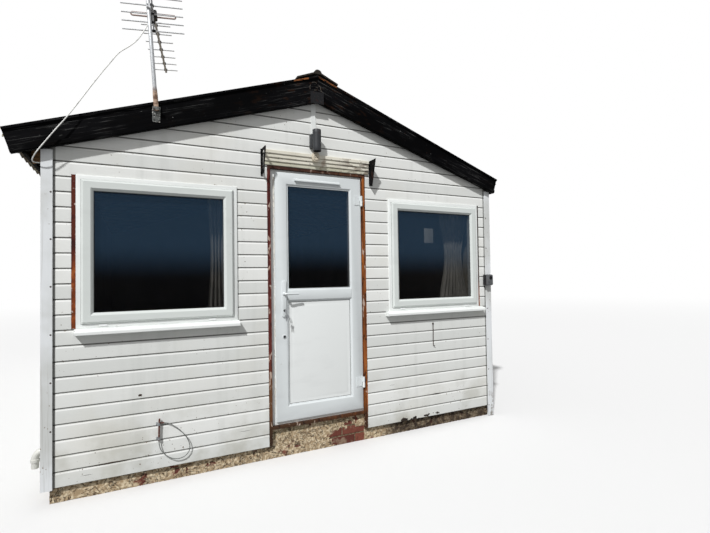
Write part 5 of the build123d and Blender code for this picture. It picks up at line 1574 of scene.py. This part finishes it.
def makeCableHook():
    k = {"x": -1.184, "bottom": 0.296, "length": 0.150, "radius": 0.006, "lean": 0.004, "clipDepth": 0.016,
         "clipWidth": 0.034, "clipHeight": 0.0195, "clipThick": 0.0018, "clips": (0.006, 0.104),
         "arch": 0.0085,
         "gland": [(-1.1500, -0.0805, 0.4132), (-1.1580, -0.0802, 0.4130), (-1.1752, -0.0800, 0.4130)]}
    x, low, high, radius, arch = k["x"], k["bottom"], k["bottom"] + k["length"], k["radius"], k["arch"]
    y, seat = chalet["wall"] - k["clipDepth"], chalet["wall"] - 0.002
    left, lean = x - k["clipWidth"] / 2, k["lean"]
    rod, clips = Shape(), Shape()
    rod.tube([(x, y, low), (x + 0.001, y, low + 0.04), (x + lean * 0.6, y, low + 0.10),
              (x + lean, y, high - 0.004), (x + lean + 0.0003, y, high)], [radius] * 4 + [radius * 0.7], 14)
    rod.tube(k["gland"], [0.0036, 0.0052, 0.0056], 12)
    path = [(left, seat), (left + 0.008, seat), (x - arch, y + 0.002), *arc(x, y, arch, 180, 360, 9),
            (x + arch, y + 0.003), (x + arch + 0.0002, seat + 0.001)]
    for z in (low + rise for rise in k["clips"]):
        clips.prism(path + [(a, b + k["clipThick"]) for a, b in path[::-1]], z, z + k["clipHeight"], "Z")
        clips.lathe([(0.0042, 0), (0.0042, 0.001), (0.003, 0.0022), (0.0001, 0.0024)],
                    (left + 0.005, seat, z + 0.010), frontward, 8)
    rod.make("cableHook", "rusty", "rusty_iron", "cable_hook", smooth=45)
    clips.make("cableHookClips", "steel", "rusty_iron", smooth=30)


def makeWasteElbow():
    e = {"side": 1.838, "y": 0.090, "height": 0.300, "radius": 0.0215, "bend": 0.045, "stub": 0.020,
         "tail": 0.060, "collar": 0.004, "wall": 0.0025}
    x, y, z, bend, radius = -e["side"], e["y"], e["height"], e["bend"], e["radius"]
    r, bore, turn = radius + e["collar"], radius - e["wall"], x - e["stub"]
    pipe, hole = Shape(), Shape()
    low = z - bend
    end = (turn - bend, y, low - e["tail"])
    pipe.tube([(x, y, z), (turn, y, z), *((a, y, b) for a, b in arc(turn, low, bend, 90, 180, 10)[1:]),
               (turn - bend, y, low - e["tail"] / 2), end], radius, 28)
    pipe.lathe([(r, 0.0), (r, e["stub"] - 0.003), (r - 0.001, e["stub"] - 0.001),
                (radius + 0.0012, e["stub"])], (x, y, z), (-1, 0, 0))
    pipe.lathe([(radius, 0.0), (r, 0.001), (r, 0.020), (radius + 0.001, 0.0215)], (end[0], y, low - 0.022))
    hole.lathe([(0.0001, -0.0004), (bore, -0.0004), (bore, 0.0004), (0.0001, 0.0004)], end, sides=24)
    pipe.make("wasteElbow", "pipePlastic", "white_plastic", "waste_elbow", smooth=40)
    hole.make("wasteBore", "dark", "white_plastic")


makeDoorHook()
makeCableHook()
makeWasteElbow()


# aerial on its leaning mast

mast = {"x": -1.193, "y": -0.142, "foot": 2.545, "lean": math.radians(3.8), "radius": 0.0125, "length": 0.800,
        "flat": 0.150, "plateWidth": 0.050, "plateBottom": 2.472, "plateHeight": 0.100}
aerial = {"height": 0.705, "turn": math.radians(8.4), "boom": 0.015, "behind": 1.000, "gap": 0.0003,
          "firstDirector": 0.232, "spacing": 0.122, "directors": 7, "directorLength": 0.200, "rod": 0.0042,
          "reflector": 0.034, "reflectorSpacing": 0.058, "reflectors": 6, "reflectorLength": 0.396,
          "dipole": 0.100, "dipoleLength": 0.298, "dipoleHeight": 0.022, "dipoleTube": 0.0055,
          "housing": 0.046, "housingHeight": 0.060, "clamp": 0.008, "rodInset": 0.004}


def onMast(x, y, z):
    lean = mast["lean"]
    return (mast["x"] + x * math.cos(lean) - z * math.sin(lean), mast["y"] + y,
            mast["foot"] + x * math.sin(lean) + z * math.cos(lean))


def onBoom(x, y, z):
    turn = aerial["turn"]
    return onMast(x * math.cos(turn) + y * math.sin(turn), -x * math.sin(turn) + y * math.cos(turn),
                  z + aerial["height"])


def makeMast():
    m, r, face, sides = mast, mast["radius"], barge["face"], 28
    x, y, half, low = m["x"], m["y"], m["plateWidth"] / 2, m["plateBottom"]
    jawLow, jawHigh, front = m["foot"] + 0.004, m["foot"] + 0.026, face - 0.005
    tube, bracket = Shape(), Shape()
    turns = [2 * math.pi * k / sides for k in range(sides)]
    tube.rings([[onMast(wide * math.cos(a), deep * math.sin(a), z) for a in turns] for z, wide, deep in (
        (0.0, 0.0155, 0.0045), (0.004, 0.0160, 0.0055), (m["flat"] * 0.72, 0.0158, 0.0060),
        (m["flat"] * 0.95, 0.0140, 0.0095), (m["flat"] * 1.10, r, r), (m["length"] * 0.5, r, r),
        (m["length"] - 0.002, r, r), (m["length"], r - 0.001, r - 0.001))])
    bracket.plate((x - half, x + half, low, low + m["plateHeight"]), front, face, 0.004, 0.001)
    jaw = [(0.022, front), (0.022, face - 0.008), (0.012, face - 0.0155)]
    jaw = [(x - aside, b) for aside, b in jaw] + [(x + aside, b) for aside, b in jaw[::-1]]
    bracket.prism(jaw, jawLow, jawHigh, "Z")
    z = jawLow + 0.011
    for a in (x - 0.0195, x + 0.0195):
        bracket.tube([(a, face - 0.004, z), (a, y + 0.002, z), (a, y - 0.012, z)], 0.003, 10)
        bracket.head((a, y - 0.007, z), 6, (0.0062, 0), (0.0062, 0.005))
    bracket.prism([(x - 0.0245, y - 0.0060), (x - 0.0245, y - 0.0085), (x + 0.0245, y - 0.0085),
                   (x + 0.0245, y - 0.0060)], jawLow + 0.001, jawHigh - 0.001, "Z")
    for a in (x - 0.016, x + 0.016):
        for z in (low + 0.018, low + 0.048):
            bracket.head((a, front, z), 6, (0.0065, 0), (0.0065, 0.0012), (0.0052, 0.0014), (0.0052, 0.0050))
    tube.make("aerialMast", "mast", "galvanised", "aerial_mast", smooth=40)
    bracket.make("mastBracket", "clampIron", "galvanised", "mast_bracket", smooth=32)


def makeAerial():
    a, half, clamp = aerial, aerial["boom"] / 2, mast["radius"] + aerial["gap"]
    side, tail = clamp + half, -2 * aerial["boom"]
    metal, plastic, tan = Shape(), Shape(), Shape()

    def bar(shape, x0, x1, y0, y1, z0, z1, soft=0.0015):
        outline = [(x0 + soft, z0), (x1 - soft, z0), (x1, z0 + soft), (x1, z1 - soft), (x1 - soft, z1),
                   (x0 + soft, z1), (x0, z1 - soft), (x0, z0 + soft)]
        shape.rings([[onBoom(x, y, z) for x, z in outline] for y in (y0, y1)])

    def block(shape, wide, y, deep, z0, z1, soft=0.0015):  # a bar about the boom's own line
        bar(shape, side - wide, side + wide, y - deep, y + deep, z0, z1, soft)

    def rod(y, z, length, sag):
        length -= a["rodInset"]
        spots = [onBoom(side + length * k / 4, y, z - sag * abs(k) / 2) for k in range(-2, 3)]
        metal.tube(spots, a["rod"], 10)

    bar(metal, side - half, side + half, tail, a["behind"], -half, half)
    for y in (tail - 0.0012, a["behind"]):
        bar(plastic, side - half - 0.0006, side + half + 0.0006, y, y + 0.0012, -half - 0.0006, half + 0.0006)
    spine = a["reflectorSpacing"] * (a["reflectors"] - 1) / 2
    block(metal, 0.005, a["reflector"], 0.005, -spine - 0.006, spine + 0.006, 0.001)
    rng = random.Random(71)
    for i in range(a["directors"]):
        y = a["firstDirector"] + i * a["spacing"]
        rod(y, half * 0.2, a["directorLength"], rng.uniform(0, 0.002))
        block(plastic, 0.013, y, 0.008, half * 0.2 - 0.006, half + 0.0040)
    for i in range(a["reflectors"]):
        z = i * a["reflectorSpacing"] - spine
        rod(a["reflector"], z, a["reflectorLength"], rng.uniform(0, 0.004))
        block(plastic, 0.011, a["reflector"], 0.008, z - 0.007, z + 0.007)
    # the folded dipole, a flat loop with round ends
    rise = a["dipoleHeight"] / 2
    reach = a["dipoleLength"] / 2 - rise - a["dipoleTube"]
    loop = arc(side + reach, 0, rise, -90, 90, 8) + arc(side - reach, 0, rise, 90, 270, 8)
    tan.tube([onBoom(x, a["dipole"], z) for x, z in loop + loop[:1]], a["dipoleTube"], 10)
    tall = a["housingHeight"] / 2
    block(plastic, a["housing"] / 2, a["dipole"], 0.020, -tall, tall, 0.006)
    bar(metal, -clamp, side, -clamp - a["clamp"], -clamp, -a["boom"], a["boom"], 0.001)
    for z in (-0.009, 0.009):
        metal.head(onBoom(-clamp * 0.4, -clamp - a["clamp"], z), 6, (0.0055, 0), (0.0055, 0.004))
    metal.make("aerialRods", "rods", "aerial_rods", "aerial", smooth=40)
    plastic.make("aerialHousings", "dark", "aerial_rods", smooth=35)
    tan.make("aerialDipole", "dipole", "aerial_rods", smooth=40)


makeMast()
makeAerial()
print("small things and aerial ready")


# masonry under the front, seen below the boards and the door: bricks, joints and flaking render

masonry = {"brick": (0.215, 0.065), "joint": 0.010, "front": -0.040, "side": 1.808, "top": 0.228,
           "jitter": 0.007, "coat": 0.0035, "renderLift": 0.0025, "bare": (0.10, 0.42, 0.130)}


def makeFrontMasonry():
    m, side, front, joint = masonry, masonry["side"], masonry["front"], masonry["joint"]
    length, height = m["brick"]
    bricks, joints, render = Shape(), Shape(), Shape()
    joints.box((-side, front + 0.008, 0.0), (side, 0.050, m["top"] - 0.001), 0.0)
    rng = random.Random(90)
    for row in range(round(m["top"] / (height + joint))):
        z0 = row * (height + joint)
        x = -side + (0 if row % 2 else -length / 2)
        while x < side:
            a, b = max(x, -side), min(x + length, side)
            if b - a > 0.03:
                deep = front + rng.uniform(0.0012, 0.0012 + m["jitter"])
                seed, tone = rng.random() * 50, rng.random()
                roughBar(bricks, (a, deep, z0 + 0.001), (b, 0.048, min(z0 + height, m["top"] - 0.002)), 0.032,
                         0.0035, seed, tone)
            x += length + joint

    def keep(u, v):            # less of it is left under the door
        x0, x1, high = m["bare"]
        share = roughness(u, v, 0, 5.5, 40) + 0.5 * roughness(u, v, 0, 24, 41)
        return share > (0.12 if x0 < u - side < x1 and v < high else -0.42)

    def place(u, v, lift):
        return (u - side, front + m["coat"] - lift + 0.0015 * roughness(u, v, 0, 12, 8), v)
    render.scraps(place, 2 * side, m["top"] - 0.003, 0.0125, keep, m["renderLift"], 44)
    joints.make("plinthMortar", "mortar", "masonry", "plinth_front")
    bricks.make("plinthBricks", "brick", "masonry", smooth=50)
    render.make("plinthRender", "masonry", "masonry", smooth=60)


# inside: floorboards with gaps, and what shows faintly through the glass

def makeFloor():
    f = {"side": 1.818, "front": 0.050, "rear": 5.910, "bottom": 0.190, "top": 0.250, "board": 0.121,
         "gap": 0.0018}
    boards = Shape()
    rng = random.Random(55)
    count = round(2 * f["side"] / f["board"])
    width, top = 2 * f["side"] / count, f["top"]
    for i in range(count):
        x0 = -f["side"] + i * width + f["gap"] / 2
        x1 = x0 + width - f["gap"]
        ends = [f["front"], f["front"] + rng.uniform(1.8, 4.2), f["rear"]]
        for y0, y1 in zip(ends, ends[1:]):
            boards.prism([(x0, f["bottom"]), (x1, f["bottom"]), (x1, top - 0.001), (x1 - 0.001, top),
                          (x0 + 0.001, top), (x0, top - 0.001)], y0 + 0.0008, y1 - 0.0008, "Y", rng.random())
    boards.make("floorBoards", "floor", "floor_boards", "floor", smooth=30)


inside = {
    "curtainY": 0.105, "curtainThick": 0.0012, "down": 24,
    # ends, foot, rail, folds, their depth, seed and how far it is drawn in
    "curtains": {"leftCurtain": (-0.83, -0.70, 1.10, 2.03, 4, 0.016, 3, 0.3),
                 "rightCurtain": (1.36, 1.70, 1.12, 2.03, 7, 0.022, 9, 0.42)},
    "rails": ((-1.72, -0.60), (0.62, 1.71)), "railHeight": 2.045,
    "notice": (1.073, 1.175, 1.698, 1.835), "noticeFaces": (-0.0488, -0.0478),
}


def makeCurtain(name, x0, x1, z0, z1, folds, depth, seed, pinch):
    # a hung curtain: folds run down from the rail and wander a little
    across, down, middle = folds * 10, inside["down"], (x0 + x1) / 2
    points, faces = [], []
    for j in range(down + 1):
        share = j / down       # 0 at the rail
        drawn = 1 - pinch * math.sin(math.pi * share) ** 2
        for i in range(across + 1):
            u = i / across
            turn = 2 * math.pi * folds * u + 0.9 * roughness(u * 3, share, 0, 2.2, seed)
            swing = depth * (0.75 + 0.25 * share) * math.sin(turn)
            swing += 0.004 * roughness(u * 6, share * 4, 0, 1, seed)
            hem = 0.004 * roughness(u * 5, 0, 0, 1, seed) if j == down else 0
            points.append((middle + (x0 + (x1 - x0) * u - middle) * drawn, inside["curtainY"] + swing,
                           z1 - (z1 - z0) * share + hem))
            if i and j:
                a = len(points) - across - 3
                faces.append((a, a + 1, a + across + 2, a + across + 1))
    cloth = Shape()
    cloth.add(points, faces)
    piece = cloth.make(name, "curtain", "wall_lining", smooth=60)
    piece.modifiers.new("thickness", "SOLIDIFY").thickness = inside["curtainThick"]
    length = sum((Vector(b) - Vector(a)).length for a, b in zip(points[:across], points[1:]))
    return round(length, 3)


def makeBehindGlass():         # a curtain in each window and a blank notice on the right pane
    y, z = inside["curtainY"], inside["railHeight"]
    lengths = [makeCurtain(name, *sizes) for name, sizes in inside["curtains"].items()]
    rails, notice = Shape(), Shape()
    for x0, x1 in inside["rails"]:
        rails.tube([(x0, y, z), ((x0 + x1) / 2, y, z - 0.002), (x1, y, z)], 0.008, 12)
        for x in (x0 + 0.03, x1 - 0.03):
            rails.tube([(x, 0.050, z), (x, 0.078, z), (x, y, z)], 0.005, 8)
    notice.plate(inside["notice"], *inside["noticeFaces"], 0.002, 0.0002)
    rails.make("curtainRails", "plastic", "white_plastic", smooth=40)
    notice.make("blankNotice", "paper", "white_plastic", smooth=30)
    print("curtains, metres of cloth:", lengths)


makeFrontMasonry()
makeFloor()
makeBehindGlass()
print("masonry, floor and curtains ready")


# the nodes whose own shape is right: finish, width of the softened edges, names

for finish, width, names in (
        ("cornerBoard", 0.0015, ("corner_boards",)), ("tar", 0.002, ("eaves_fascias",)),
        ("tarSlopes", 0.0025, ("front_bargeboards", "back_bargeboards")), ("timberX", 0.0015, ("rafters",)),
        ("timberY", 0.0015, ("purlins", "ridge_board")), ("sideMasonry", 0, ("plinth_back", "plinth_sides")),
        ("glass", 0, ("window_glass",)), ("doorGlass", 0, ("door_glass",)),
        ("lining", 0, ("front_wall_left", "front_wall_right", "front_gable_wall")),
        ("lining", 0, ("back_wall", "left_wall", "right_wall"))):
    for name in names:
        nodes[name].data.materials.clear()
        nodes[name].data.materials.append(finishes[finish])
        if width:
            softEdges(nodes[name], width)
print("carried-over nodes finished")
